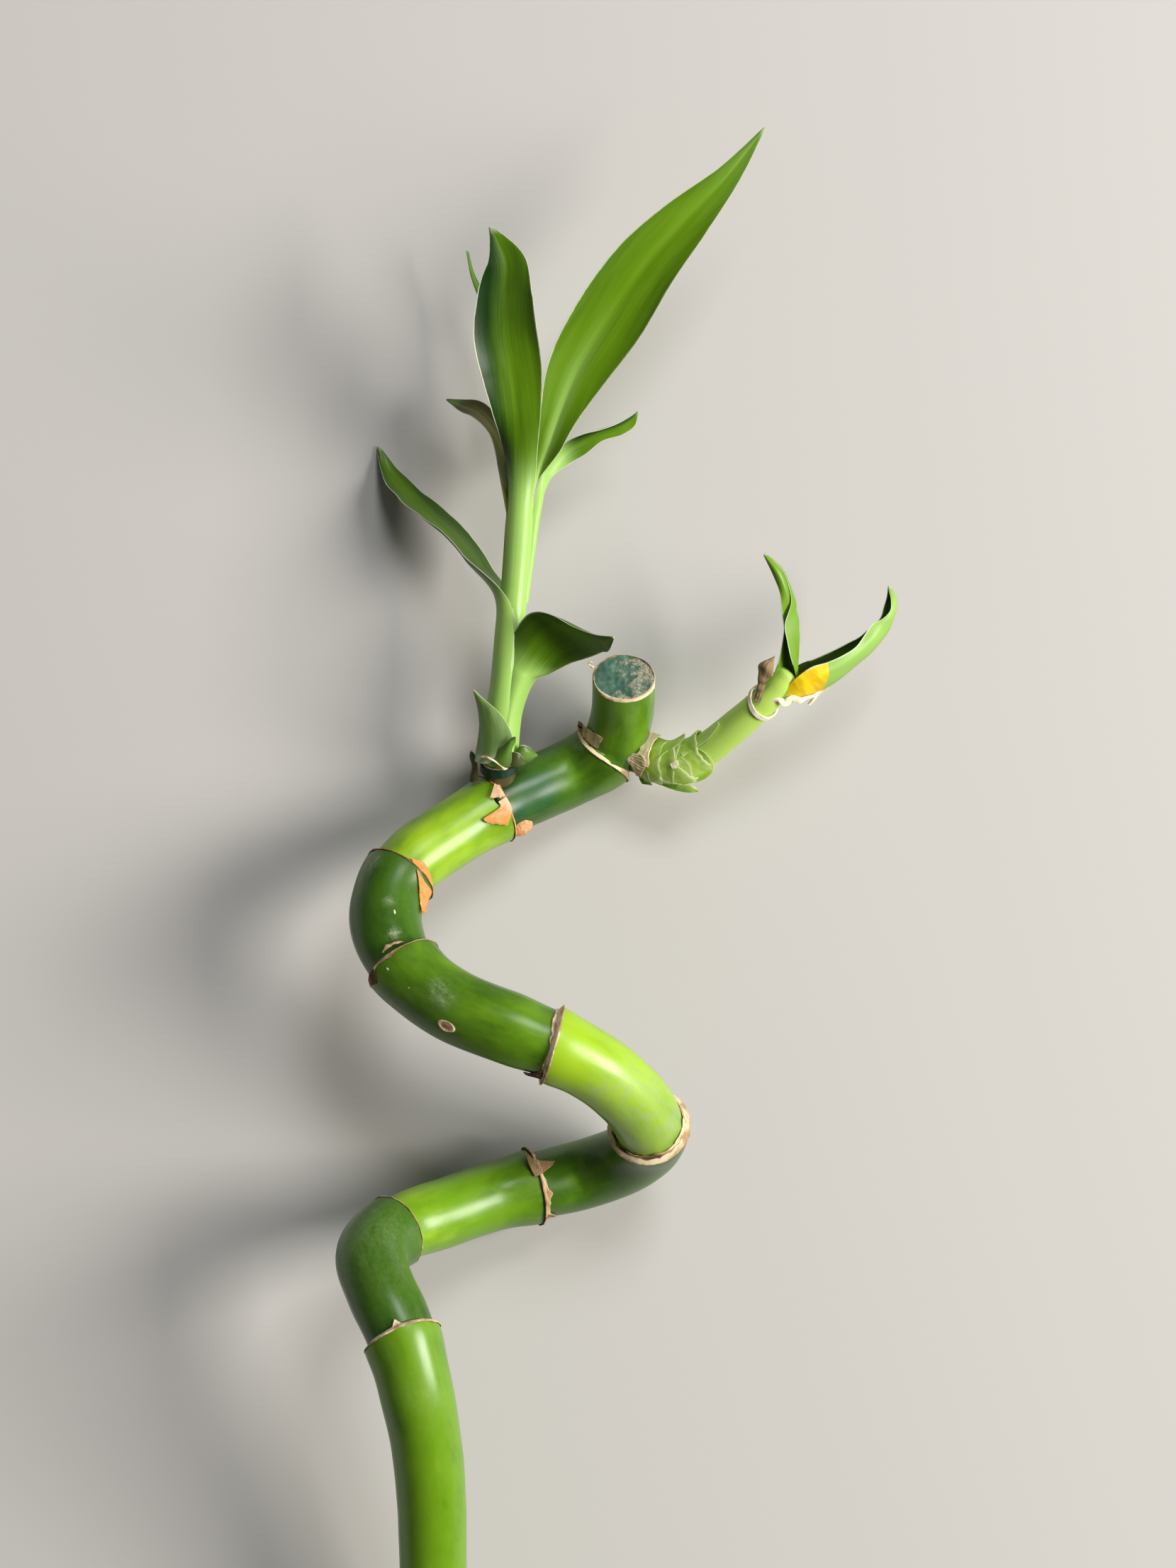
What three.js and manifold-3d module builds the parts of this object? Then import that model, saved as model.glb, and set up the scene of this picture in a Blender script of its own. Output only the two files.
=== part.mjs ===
// Lucky bamboo: a stalk curled into two loops, cut from its plant, with a main shoot and a side shoot.
// It lies on the foot of its stalk, the backs of its loops and the tip of one leaf.
// Millimetres. +Y runs from the cut foot to the leaf tips, +Z points up, and the surface is z = 0.

import * as THREE from "three";
import { mergeVertices } from "three/addons/utils/BufferGeometryUtils.js";
import Module from "manifold-3d";

const wasm = await Module();
wasm.setup();

// Clearances and thicknesses
const GAP = 0.3;
const CLEAR = 0.35;
const SHEATH = 0.7;
const LEAF = 0.75;
const TIP_HALF_WIDTH = 0.35;

// The cane's joints: the lip that swells below each one, and the waist above it
const LIP = 0.55;
const LIP_LENGTH = 4.2;
const STEP_LENGTH = 0.6;
const WAIST = 0.35;
const WAIST_LENGTH = 4.5;
const CANE_SIDES = 16;
const CANE_RING_SPACING = 5;
// An even ring is left out where it comes this close to one of a joint's own rings
const RING_CLEAR = 2.25;
const SHOOT_SIDES = 12;
const SHOOT_RING_SPACING = 3;
const SHOOT_TIP = { reach: 0.8, share: 0.55 };
// A knot marks the middle of its rim, so the lip that the rim sits on ends a little before it
const RIM_AT = 1.2;

// The cut top: a raised edge round the wax that seals it
const CUT_EDGE = 0.85;
const CUT_DEPTH = 1.1;
// The wax: its width as a share of the cane's, and the height and width of its dome above the cut
const SEAL_SHARE = 0.76;
const SEAL_EDGE = -0.1;
const SEAL_DOME = [[0.25, 0.75], [0.35, 0.35]];

// Cane: [x, y, z, radius] from the cut foot to the cut top; a fifth value marks a joint
const CANE_KNOTS = [
  [-33, -162.8, 5.7, 6.1],
  [-33, -130, 15.5, 6.1],
  [-33, -98, 25.3, 6.1],
  [-34, -75, 34, 6.4],
  [-36.2, -62, 38.2, 6.7],
  [-38.8, -53, 38, 6.6, "joint"],
  [-42.6, -45.5, 34.2, 6.4],
  [-44.5, -40, 28.5, 6.4],
  [-39.6, -36.3, 21.3, 6.2, "joint"],
  [-31, -33.8, 14.6, 6.3],
  [-24, -31.6, 10.8, 6.4],
  [-14.1, -29.3, 7.8, 6.5, "joint"],
  [-6.5, -27.7, 5.6, 6.4],
  [1.5, -24.6, 9.8, 6.3],
  [6, -20.8, 16.5, 6.4],
  [6, -17, 24, 6.6, "joint"],
  [3, -11.8, 31.5, 6.4],
  [-3.5, -6, 37, 6.4],
  [-11.7, -1.6, 39.4, 6.4, "joint"],
  [-20, 1.5, 38.7, 6.6],
  [-29.5, 5.2, 35.8, 6.6],
  [-39.1, 13, 30, 6.4, "joint"],
  [-42, 21.5, 24.6, 6.7],
  [-38.8, 29.2, 19.8, 6.4, "joint"],
  [-30.5, 35.4, 14.8, 6.2],
  [-21.2, 41, 10.4, 6.1, "joint"],
  [-14, 44.4, 7.4, 6.2],
  [-7.3, 47.4, 5.5, 6.2],
  [-1.1, 51.2, 8.2, 6.1, "joint"],
  [1.2, 57.4, 13, 5.9],
  [1.6, 64.4, 20.5, 5.8],
];

// Dry rims, one for each joint in turn: how far they reach along the cane, how thick they are, how ragged,
// and their torn scraps (the side of the cane they are on, how wide in degrees, how far they stand up)
const RIMS = [
  { reach: 1.0, thick: 0.7, ragged: 0.15, scraps: [{ side: [0.1, 0, 1], wide: 16, reach: 1.6 }] },
  { reach: 1.0, thick: 0.7, ragged: 0.2, scraps: [] },
  {
    reach: 1.4,
    thick: 0.7,
    ragged: 0.35,
    scraps: [
      { side: [0, 1, 0.35], wide: 34, reach: 4.4 },
      { side: [0, -1, 0.3], wide: 26, reach: 2.2 },
    ],
  },
  { reach: 2.0, thick: 1.1, ragged: 0.35, scraps: [] },
  { reach: 1.5, thick: 0.9, ragged: 0.25, scraps: [{ side: [0, -1, 0.45], wide: 30, reach: 2.8 }] },
  { reach: 1.0, thick: 0.7, ragged: 0.2, scraps: [] },
  { reach: 1.1, thick: 0.7, ragged: 0.2, scraps: [{ side: [0.8, -0.3, 0.9], wide: 30, reach: 2.4 }] },
  { reach: 1.2, thick: 0.7, ragged: 0.25, scraps: [{ side: [0, 0.3, 1], wide: 24, reach: 2.0 }] },
  { reach: 1.2, thick: 0.7, ragged: 0.2, scraps: [{ side: [-0.9, 0.2, 0.6], wide: 40, reach: 2.8 }] },
];
const RIM_STEPS = 24;
const RIM_CLEAR = 0.15;
const RIM_TAPER = 0.85;

// The shoots leave the cane beside these joints, counted from 0
const MAIN_JOINT = 7;
const SIDE_JOINT = 8;

// The torn sheath left below the rim at the main shoot
const SCRAP = { start: 0.4, below: 4.4, tipLift: 0.7, side: [-0.1, -0.7, 0.8], half: 34 };

// The dormant bud beside that rim, and its outline as [share of its height, share of its width]
const BUD = { after: 2.2, side: [0.1, -1, 0.55], long: 2.3, wide: 1.7, high: 1.5, sunk: 0.8, sides: 12 };
const BUD_OUTLINE = [[0, 1], [0.45, 0.97], [0.75, 0.7], [0.95, 0.35]];

// Main shoot: stem knots [x, y, z, radius] from inside the cane to the top leaf base
const MAIN_STEM = [
  [-21.2, 46, 12.5, 3.0],
  [-21.5, 51, 16, 2.7],
  [-20.7, 57.5, 18.2, 2.2],
  [-19.9, 64, 19.2, 2.0],
  [-19.2, 72, 19.6, 2.0],
  [-18.4, 81, 19.6, 1.9],
  [-17.7, 90, 19.2, 2.0],
  [-17.3, 98, 18.6, 1.8],
];
const MAIN_COLLAR = { from: 2.6, to: 3.7, seed: 3 };
const MAIN_BRACTS = [
  { from: 4.0, to: 14.5, side: [-0.75, 0, 0.65], half: 62, lift: 0.3, tipLift: 3.6 },
  { from: 2.9, to: 7.2, side: [0.75, 0, 0.65], half: 38, lift: 1.3, tipLift: 2.2 },
  { from: 2.9, to: 5.6, side: [0.75, 0, -0.7], half: 34, lift: 1.3, tipLift: 4.0 },
  { from: 0.8, to: 3.4, side: [-1, 0, -0.15], half: 30, lift: 1.3, tipLift: 2.0 },
];

// Leaves: stations along the midrib, each { at: [x, y, z], half: half width, roll: degrees, cup: depth }.
// Roll 0 lies flat and faces up. The sheath is the part of the leaf's foot that wraps its stem.
const MAIN_LEAVES = {
  leaf_right_low: {
    wave: 0.35,
    sheath: { from: 13, to: 29.5, side: [0.8, 0, 0.6], half: 105, lift: 0.3, low: 0.35 },
    stations: [
      { at: [-18.6, 69.4, 21.2], half: 6.0, roll: 0, cup: 1.2 },
      { at: [-14.5, 70.3, 24], half: 6.2, roll: 4, cup: 2.0 },
      { at: [-10.2, 70.6, 28], half: 4.7, roll: 6, cup: 2.2 },
      { at: [-6.4, 70.4, 31.5], half: 3.2, roll: 4, cup: 1.6 },
      { at: [-3, 70.5, 34.5], half: 1.8, roll: 0, cup: 0.8 },
      { at: [0, 71.4, 37], half: TIP_HALF_WIDTH, roll: 0, cup: 0 },
    ],
  },
  leaf_left_low: {
    wave: 0.2,
    sheath: { from: 14, to: 32, side: [-0.9, 0, -0.45], half: 62, lift: 0.3, low: 0.6 },
    stations: [
      { at: [-22.2, 74, 18.6], half: 4.2, roll: 66, cup: 1.5 },
      { at: [-23.9, 80.3, 16.4], half: 5.0, roll: 67, cup: 1.3 },
      { at: [-26.4, 85.6, 13.6], half: 5.6, roll: 70, cup: 1.2 },
      { at: [-29.8, 90.2, 10.6], half: 5.4, roll: 69, cup: 1.1 },
      { at: [-34, 94.3, 7.6], half: 4.8, roll: 66, cup: 0.9 },
      { at: [-38.2, 98.2, 4.7], half: 3.7, roll: 60, cup: 0.6 },
      { at: [-41.8, 102.8, 2.0], half: 1.9, roll: 35, cup: 0.2 },
      { at: [-44.2, 108, 0.38], half: TIP_HALF_WIDTH, roll: 0, cup: 0 },
    ],
  },
  leaf_front: {
    wave: 0.5,
    sheath: { from: 28, to: 51, side: [-0.4, 0, 1], half: 95, lift: 0.3, low: 0.55 },
    stations: [
      { at: [-17.6, 91, 21.8], half: 2.5, roll: 0, cup: -0.9 },
      { at: [-17.2, 99, 22.6], half: 3.3, roll: 0, cup: -0.9 },
      { at: [-17.5, 106, 25], half: 3.6, roll: 0, cup: -0.6 },
      { at: [-17.9, 112.5, 28.2], half: 4.4, roll: 0, cup: 0.6 },
      { at: [-18.8, 119.5, 31.5], half: 5.5, roll: 0, cup: 1.3 },
      { at: [-19.9, 126, 34.2], half: 5.8, roll: 0, cup: 1.3 },
      { at: [-20.3, 133, 36.6], half: 4.8, roll: 0, cup: 1.1 },
      { at: [-20.6, 139, 38], half: 2.9, roll: 0, cup: 0.7 },
      { at: [-22.6, 145, 38.6], half: TIP_HALF_WIDTH, roll: 0, cup: 0 },
    ],
  },
  leaf_right_tall: {
    wave: 0.5,
    sheath: { from: 31, to: 53, side: [1, 0, -0.35], half: 60, lift: 0.3, low: 0.6 },
    stations: [
      { at: [-15.1, 94, 18.9], half: 1.5, roll: -14, cup: 0.3 },
      { at: [-13.6, 101.5, 20.2], half: 1.8, roll: -12, cup: 0.4 },
      { at: [-11, 110, 22.2], half: 3.0, roll: -10, cup: 0.8 },
      { at: [-7, 120, 24.2], half: 5.5, roll: -6, cup: 1.0 },
      { at: [-1, 129.6, 26], half: 6.6, roll: -4, cup: 1.1 },
      { at: [5.3, 139, 27.4], half: 6.0, roll: -2, cup: 1.0 },
      { at: [12.7, 147.2, 28.4], half: 4.5, roll: 0, cup: 0.8 },
      { at: [20.2, 155, 28.8], half: 2.3, roll: 4, cup: 0.4 },
      { at: [27.1, 164, 28.4], half: TIP_HALF_WIDTH, roll: 6, cup: 0 },
    ],
  },
  leaf_back: {
    wave: 0.3,
    stations: [
      { at: [-17.8, 94, 17.4], half: 2.0, roll: 0, cup: 0.4 },
      { at: [-17.8, 106, 14.8], half: 3.0, roll: 4, cup: 0.6 },
      { at: [-18.8, 118, 13], half: 3.6, roll: 6, cup: 0.8 },
      { at: [-21.4, 129, 12], half: 3.4, roll: 8, cup: 0.7 },
      { at: [-24.8, 137.5, 11.6], half: 1.9, roll: 8, cup: 0.4 },
      { at: [-27.2, 143.5, 11.8], half: TIP_HALF_WIDTH, roll: 8, cup: 0 },
    ],
  },
  leaf_left_high: {
    wave: 0.4,
    stations: [
      { at: [-18.8, 93, 18.8], half: 1.6, roll: 50, cup: 0.3 },
      { at: [-20.2, 102.5, 17.4], half: 2.2, roll: 48, cup: 0.4 },
      { at: [-22, 109.5, 15.6], half: 2.4, roll: 44, cup: 0.5 },
      { at: [-25.2, 113.4, 13.4], half: 2.3, roll: 46, cup: 0.5 },
      { at: [-28.4, 115, 11], half: 1.5, roll: 44, cup: 0.3 },
      { at: [-31.1, 116.2, 8.6], half: TIP_HALF_WIDTH, roll: 40, cup: 0 },
    ],
  },
  leaf_right_small: {
    wave: 0.3,
    stations: [
      { at: [-16, 94, 17], half: 1.5, roll: 34, cup: 0.3 },
      { at: [-10.5, 103.8, 16.2], half: 1.6, roll: 40, cup: 0.4 },
      { at: [-5.1, 107.5, 15.6], half: 1.7, roll: 40, cup: 0.4 },
      { at: [0.1, 109.9, 15], half: 1.1, roll: 34, cup: 0.2 },
      { at: [4.3, 113.4, 14.6], half: TIP_HALF_WIDTH, roll: 20, cup: 0 },
    ],
  },
};

// Side shoot: it leaves the cane at its last joint and swells into a scaly base
const SIDE_STEM = [
  [1.8, 50.4, 8.8, 2.4],
  [4.8, 49.4, 9.8, 2.7],
  [8.4, 48.8, 11.4, 3.4],
  [12.3, 49, 13.2, 3.5],
  [16.2, 50.9, 15.2, 3.1],
  [21.1, 54.8, 18, 3.0],
  [26.6, 59.6, 21, 2.8],
  [29.8, 62.8, 22.4, 2.4],
  [31.4, 65, 23, 2.0],
];
const SIDE_COLLAR = { from: 3.6, to: 4.8, seed: 5 };
const SIDE_SCALES = [
  { from: 5.1, to: 9.8, side: [0, 1, 0.4], half: 165, lift: 0.3, tipLift: 1.6, low: 0.7, coverFrom: 8.0 },
  { from: 8, to: 14.2, side: [0.4, -1, 0.4], half: 165, lift: 0.3, tipLift: 1.8, low: 0.7, coverFrom: 12.2 },
  { from: 12.2, to: 20, side: [-0.4, 1, 0.4], half: 165, lift: 0.3, tipLift: 1.0, low: 0.55 },
];
const SIDE_RING = { from: 31.4, to: 32.3, seed: 7 };
const SIDE_HUSK = [
  { at: [5.4, 50.6, 13.2], half: 1.5, roll: 0, cup: 0.3 },
  { at: [6.0, 52.6, 14], half: 1.6, roll: 0, cup: 0.3 },
  { at: [6.8, 54.6, 14.4], half: 1.1, roll: 0, cup: 0.2 },
  { at: [7.4, 56, 14.4], half: TIP_HALF_WIDTH, roll: 0, cup: 0 },
];
const SIDE_LEAVES = {
  side_leaf_upright: {
    wave: 0.3,
    stations: [
      { at: [30.2, 63.4, 24], half: 3.2, roll: 20, cup: 1.2 },
      { at: [31.5, 68.1, 25.2], half: 3.3, roll: 45, cup: 0.9 },
      { at: [31.9, 73, 26.6], half: 3.0, roll: 55, cup: 0.7 },
      { at: [31.1, 78, 28], half: 2.3, roll: 55, cup: 0.5 },
      { at: [29.3, 82.5, 29.2], half: 1.3, roll: 45, cup: 0.3 },
      { at: [26.9, 86.6, 30], half: TIP_HALF_WIDTH, roll: 30, cup: 0 },
    ],
  },
  side_leaf_curled: {
    wave: 0.3,
    stations: [
      { at: [30.4, 61.6, 21.4], half: 2.2, roll: 20, cup: 0.7 },
      { at: [34.3, 63.5, 20.8], half: 3.2, roll: 30, cup: 0.8 },
      { at: [38, 65.5, 20.2], half: 3.6, roll: 32, cup: 0.8 },
      { at: [41.8, 67.8, 19.5], half: 3.1, roll: 34, cup: 0.7 },
      { at: [45.2, 70.4, 18.8], half: 2.4, roll: 34, cup: 0.5 },
      { at: [48.2, 73.5, 18], half: 1.9, roll: 32, cup: 0.4 },
      { at: [50.2, 77, 17.4], half: 1.2, roll: 30, cup: 0.2 },
      { at: [50, 81, 17], half: TIP_HALF_WIDTH, roll: 20, cup: 0 },
    ],
  },
  side_leaf_dry: {
    wave: 0.3,
    stations: [
      { at: [26.6, 60.4, 24.6], half: 1.0, roll: 10, cup: 0.3 },
      { at: [26.7, 63.4, 26], half: 1.1, roll: 15, cup: 0.3 },
      { at: [27.5, 66.2, 27], half: 1.2, roll: 20, cup: 0.3 },
      { at: [28.9, 68.4, 27.6], half: TIP_HALF_WIDTH, roll: 20, cup: 0 },
    ],
  },
};

// A leaf's ripple: its turns along the leaf, and how it leans across it, in radians
const WAVE_ALONG = 9;
const WAVE_ACROSS = 1.7;

// A scale's shortest edge as a share of its length, and where it starts to climb over the next one
const SCALE_LOW = 0.15;
const CLIMB_BEFORE = 1.6;
const CLIMB_LENGTH = 1.4;

// How finely leaves and sheaths are divided
const LEAF_ROWS = 13;
const LEAF_COLUMNS = 4;
const COLLAR_STEPS = 16;
const COLLAR_RAGGED = 0.25;
const SHEATH_ROWS = 4;
const SHEATH_COLUMNS = 8;

const MATERIALS = {
  cane: new THREE.MeshStandardMaterial({ color: 0x4f7a24, roughness: 0.32 }),
  wax: new THREE.MeshStandardMaterial({ color: 0x1f3d38, roughness: 0.4 }),
  rim: new THREE.MeshStandardMaterial({ color: 0xb8925c, roughness: 0.85 }),
  sheath: new THREE.MeshStandardMaterial({ color: 0x8a5a34, roughness: 0.8 }),
  bud: new THREE.MeshStandardMaterial({ color: 0xb9773a, roughness: 0.6 }),
  shoot: new THREE.MeshStandardMaterial({ color: 0x8ba84a, roughness: 0.45 }),
  leaf: new THREE.MeshStandardMaterial({ color: 0x3f6b2a, roughness: 0.45 }),
  dry_leaf: new THREE.MeshStandardMaterial({ color: 0x6b4526, roughness: 0.85 }),
};

// Shape helpers

function clamp(value, low, high) {
  return Math.min(high, Math.max(low, value));
}

function smoothStep(value) {
  const t = clamp(value, 0, 1);
  return t * t * (3 - 2 * t);
}

function radians(degrees) {
  return (degrees * Math.PI) / 180;
}

// A repeatable ragged value between -1 and 1 for a whole number and a seed
function ragged(index, seed) {
  const value = Math.sin(index * 12.9898 + seed * 78.233) * 43758.5453;
  return 2 * (value - Math.floor(value)) - 1;
}

// A smooth value through a list of [position, value] pairs
function along(pairs, position) {
  const last = pairs.length - 1;
  let i = 0;
  while (i < last - 1 && position > pairs[i + 1][0]) {
    i += 1;
  }
  const [start, from] = pairs[i];
  const [end, to] = pairs[i + 1];
  return from + (to - from) * smoothStep((position - start) / (end - start));
}

// A round stem along a curve, with a frame that runs along it without twisting
class Stem {
  constructor(knots) {
    const divisions = 40;
    const curve = new THREE.CatmullRomCurve3(
      knots.map(([x, y, z]) => new THREE.Vector3(x, y, z)), false, "centripetal");
    curve.arcLengthDivisions = divisions * (knots.length - 1);
    const lengths = curve.getLengths();
    this.length = curve.getLength();
    this.steps = Math.ceil(this.length);
    this.points = curve.getSpacedPoints(this.steps);
    this.frames = curve.computeFrenetFrames(this.steps, false);
    this.radii = knots.map((knot, i) => [lengths[i * divisions], knot[3]]);
    const marked = knots.flatMap((knot, i) => (knot[4] === "joint" ? [i] : []));
    this.joints = marked.map((i) => lengths[i * divisions] - RIM_AT);
  }

  radius(s) {
    let radius = along(this.radii, s);
    for (const joint of this.joints) {
      const d = s - joint;
      if (d <= 0) {
        radius += LIP * Math.exp(-((d / LIP_LENGTH) ** 2));
      } else if (d < STEP_LENGTH) {
        radius += LIP - (LIP + WAIST) * (d / STEP_LENGTH);
      } else {
        radius -= WAIST * Math.exp(-(((d - STEP_LENGTH) / WAIST_LENGTH) ** 2));
      }
    }
    return radius;
  }

  // The stem's middle and its two cross directions at a distance s along it
  place(s) {
    const step = (clamp(s, 0, this.length) / this.length) * this.steps;
    const i = Math.min(Math.floor(step), this.steps - 1);
    const mix = (list) => list[i].clone().lerp(list[i + 1], step - i);
    const tangent = mix(this.frames.tangents).normalize();
    const point = mix(this.points).addScaledVector(tangent, s - clamp(s, 0, this.length));
    const side = mix(this.frames.normals);
    side.addScaledVector(tangent, -side.dot(tangent)).normalize();
    return { point, tangent, side, up: new THREE.Vector3().crossVectors(tangent, side) };
  }

  // The angle round the stem that faces a direction
  facing(s, direction) {
    const { side, up } = this.place(s);
    const aim = new THREE.Vector3(...direction);
    return Math.atan2(aim.dot(up), aim.dot(side));
  }

  surface(s, angle, lift) {
    const { point, side, up } = this.place(s);
    const reach = this.radius(s) + lift;
    return point
      .addScaledVector(side, reach * Math.cos(angle))
      .addScaledVector(up, reach * Math.sin(angle));
  }
}

// One closed body between two grids of points, which lie over each other; it may run round on itself
function shell(outer, inner, closedRound) {
  const rows = outer.length;
  const columns = outer[0].length;
  const positions = [];
  for (const grid of [outer, inner]) {
    for (const row of grid) {
      for (const point of row) {
        positions.push(point.x, point.y, point.z);
      }
    }
  }
  const id = (face, r, c) => face * rows * columns + r * columns + (c % columns);
  const triangles = [];
  const quad = (a, b, c, d) => triangles.push(a, b, c, a, c, d);
  const spans = closedRound ? columns : columns - 1;
  for (let r = 0; r < rows - 1; r += 1) {
    for (let c = 0; c < spans; c += 1) {
      quad(id(0, r, c), id(0, r, c + 1), id(0, r + 1, c + 1), id(0, r + 1, c));
      // The same diagonal on both faces, so that a waved blade keeps its thickness
      triangles.push(id(1, r, c), id(1, r + 1, c + 1), id(1, r, c + 1));
      triangles.push(id(1, r, c), id(1, r + 1, c), id(1, r + 1, c + 1));
    }
  }
  for (let c = 0; c < spans; c += 1) {
    quad(id(1, 0, c), id(1, 0, c + 1), id(0, 0, c + 1), id(0, 0, c));
    quad(id(0, rows - 1, c), id(0, rows - 1, c + 1), id(1, rows - 1, c + 1), id(1, rows - 1, c));
  }
  if (!closedRound) {
    for (let r = 0; r < rows - 1; r += 1) {
      quad(id(0, r, 0), id(0, r + 1, 0), id(1, r + 1, 0), id(1, r, 0));
      const last = columns - 1;
      quad(id(1, r, last), id(1, r + 1, last), id(0, r + 1, last), id(0, r, last));
    }
  }
  return outward(positions, triangles);
}

// Rings of points in turn, closed by a fan at each end
function skin(rings) {
  const sides = rings[0].length;
  const positions = rings.flat().flatMap((point) => [point.x, point.y, point.z]);
  const triangles = [];
  for (let r = 0; r < rings.length - 1; r += 1) {
    for (let c = 0; c < sides; c += 1) {
      const a = r * sides + c;
      const b = r * sides + ((c + 1) % sides);
      triangles.push(a, b, b + sides, a, b + sides, a + sides);
    }
  }
  for (const [ring, first] of [[rings[0], 0], [rings[rings.length - 1], (rings.length - 1) * sides]]) {
    const middle = ring.reduce((sum, point) => sum.add(point), new THREE.Vector3()).divideScalar(sides);
    const centre = positions.length / 3;
    positions.push(middle.x, middle.y, middle.z);
    for (let c = 0; c < sides; c += 1) {
      const a = first + c;
      const b = first + ((c + 1) % sides);
      triangles.push(...(first === 0 ? [centre, b, a] : [centre, a, b]));
    }
  }
  return outward(positions, triangles);
}

// A closed solid with its faces turned outward
function outward(positions, triangles) {
  const at = (i) => new THREE.Vector3().fromArray(positions, 3 * i);
  let volume = 0;
  for (let i = 0; i < triangles.length; i += 3) {
    volume += at(triangles[i]).dot(at(triangles[i + 1]).cross(at(triangles[i + 2])));
  }
  if (volume < 0) {
    triangles.reverse();
  }
  const geometry = new THREE.BufferGeometry();
  geometry.setAttribute("position", new THREE.Float32BufferAttribute(positions, 3));
  geometry.setIndex(triangles);
  const merged = mergeVertices(geometry, 1e-4);
  return new wasm.Manifold(new wasm.Mesh({
    numProp: 3,
    vertProperties: merged.attributes.position.array,
    triVerts: Uint32Array.from(merged.index.array),
  }));
}

// The solid left after clearing its neighbours, without any loose scraps
function fit(solid, neighbours) {
  const cleared = neighbours.reduce((rest, neighbour) => rest.subtract(neighbour), solid);
  const bodies = cleared.decompose();
  return bodies.reduce((largest, body) => (body.volume() > largest.volume() ? body : largest));
}

function toGeometry(solid) {
  const mesh = solid.getMesh();
  const geometry = new THREE.BufferGeometry();
  geometry.setAttribute("position", new THREE.BufferAttribute(new Float32Array(mesh.vertProperties), 3));
  geometry.setIndex(Array.from(mesh.triVerts));
  return geometry;
}

// Stems

function ringPoints(stem, s, sides, lift, share = 1) {
  const reach = lift - (1 - share) * stem.radius(s);
  return Array.from({ length: sides }, (unused, i) => stem.surface(s, (2 * Math.PI * i) / sides, reach));
}

function caneStations(stem) {
  const close = [-LIP_LENGTH, -LIP_LENGTH / 2, 0, STEP_LENGTH, WAIST_LENGTH / 2 + STEP_LENGTH];
  const near = stem.joints.flatMap((joint) => close.map((offset) => joint + offset));
  const count = Math.round(stem.length / CANE_RING_SPACING);
  const even = Array.from({ length: count + 1 }, (unused, i) => (i * stem.length) / count);
  const clear = even.filter((s) => near.every((other) => Math.abs(other - s) > RING_CLEAR));
  return [...clear, ...near].sort((a, b) => a - b);
}

function caneRings(stem, lift) {
  return caneStations(stem).map((s) => ringPoints(stem, s, CANE_SIDES, lift));
}

function caneSolid(stem) {
  const rings = caneRings(stem, 0);
  rings.push(ringPoints(stem, stem.length, CANE_SIDES, 0, CUT_EDGE));
  rings.push(ringPoints(stem, stem.length - CUT_DEPTH, CANE_SIDES, 0, CUT_EDGE));
  return skin(rings).subtract(floorBlock());
}

// Everything below the surface that the cane lies on
function floorBlock() {
  const size = 1000;
  const block = new THREE.BoxGeometry(size, size, size).translate(0, 0, -size / 2);
  block.deleteAttribute("normal");
  block.deleteAttribute("uv");
  const merged = mergeVertices(block);
  return outward(Array.from(merged.attributes.position.array), Array.from(merged.index.array));
}

// A shoot's stem with a rounded tip, which may be grown to clear a neighbour
function stemSolid(stem, grow = 0) {
  const count = Math.ceil(stem.length / SHOOT_RING_SPACING);
  const rings = [];
  for (let i = 0; i <= count; i += 1) {
    rings.push(ringPoints(stem, (i * stem.length) / count, SHOOT_SIDES, grow));
  }
  rings.push(ringPoints(stem, stem.length + SHOOT_TIP.reach + grow, SHOOT_SIDES, grow, SHOOT_TIP.share));
  return skin(rings);
}

// The wax disc in the cut top, slightly domed
function sealSolid(stem) {
  const outline = [[GAP - CUT_DEPTH, 1], [SEAL_EDGE, 1], ...SEAL_DOME];
  return skin(outline.map(([height, share]) =>
    ringPoints(stem, stem.length + height, CANE_SIDES, 0, SEAL_SHARE * share)));
}

// Bands and scales that hug a stem

function rimSolid(stem, joint, rim, seed, grow = 0) {
  const foot = stem.joints[joint] + STEP_LENGTH + RIM_CLEAR;
  const scraps = rim.scraps.map((scrap) => ({ ...scrap, angle: stem.facing(foot, scrap.side) }));
  const outer = [[], []];
  const inner = [[], []];
  for (let i = 0; i < RIM_STEPS; i += 1) {
    const angle = (2 * Math.PI * i) / RIM_STEPS;
    let reach = rim.reach * (1 + rim.ragged * ragged(i, seed));
    for (const scrap of scraps) {
      const off = Math.abs(Math.atan2(Math.sin(angle - scrap.angle), Math.cos(angle - scrap.angle)));
      reach += scrap.reach * clamp(1 - off / radians(scrap.wide), 0, 1);
    }
    const low = foot - grow;
    const high = foot + reach + grow;
    outer[0].push(stem.surface(low, angle, GAP + rim.thick + grow));
    outer[1].push(stem.surface(high, angle, GAP + RIM_TAPER * rim.thick + grow));
    inner[0].push(stem.surface(low, angle, GAP - grow));
    inner[1].push(stem.surface(high, angle, GAP - grow));
  }
  return shell(outer, inner, true);
}

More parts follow.
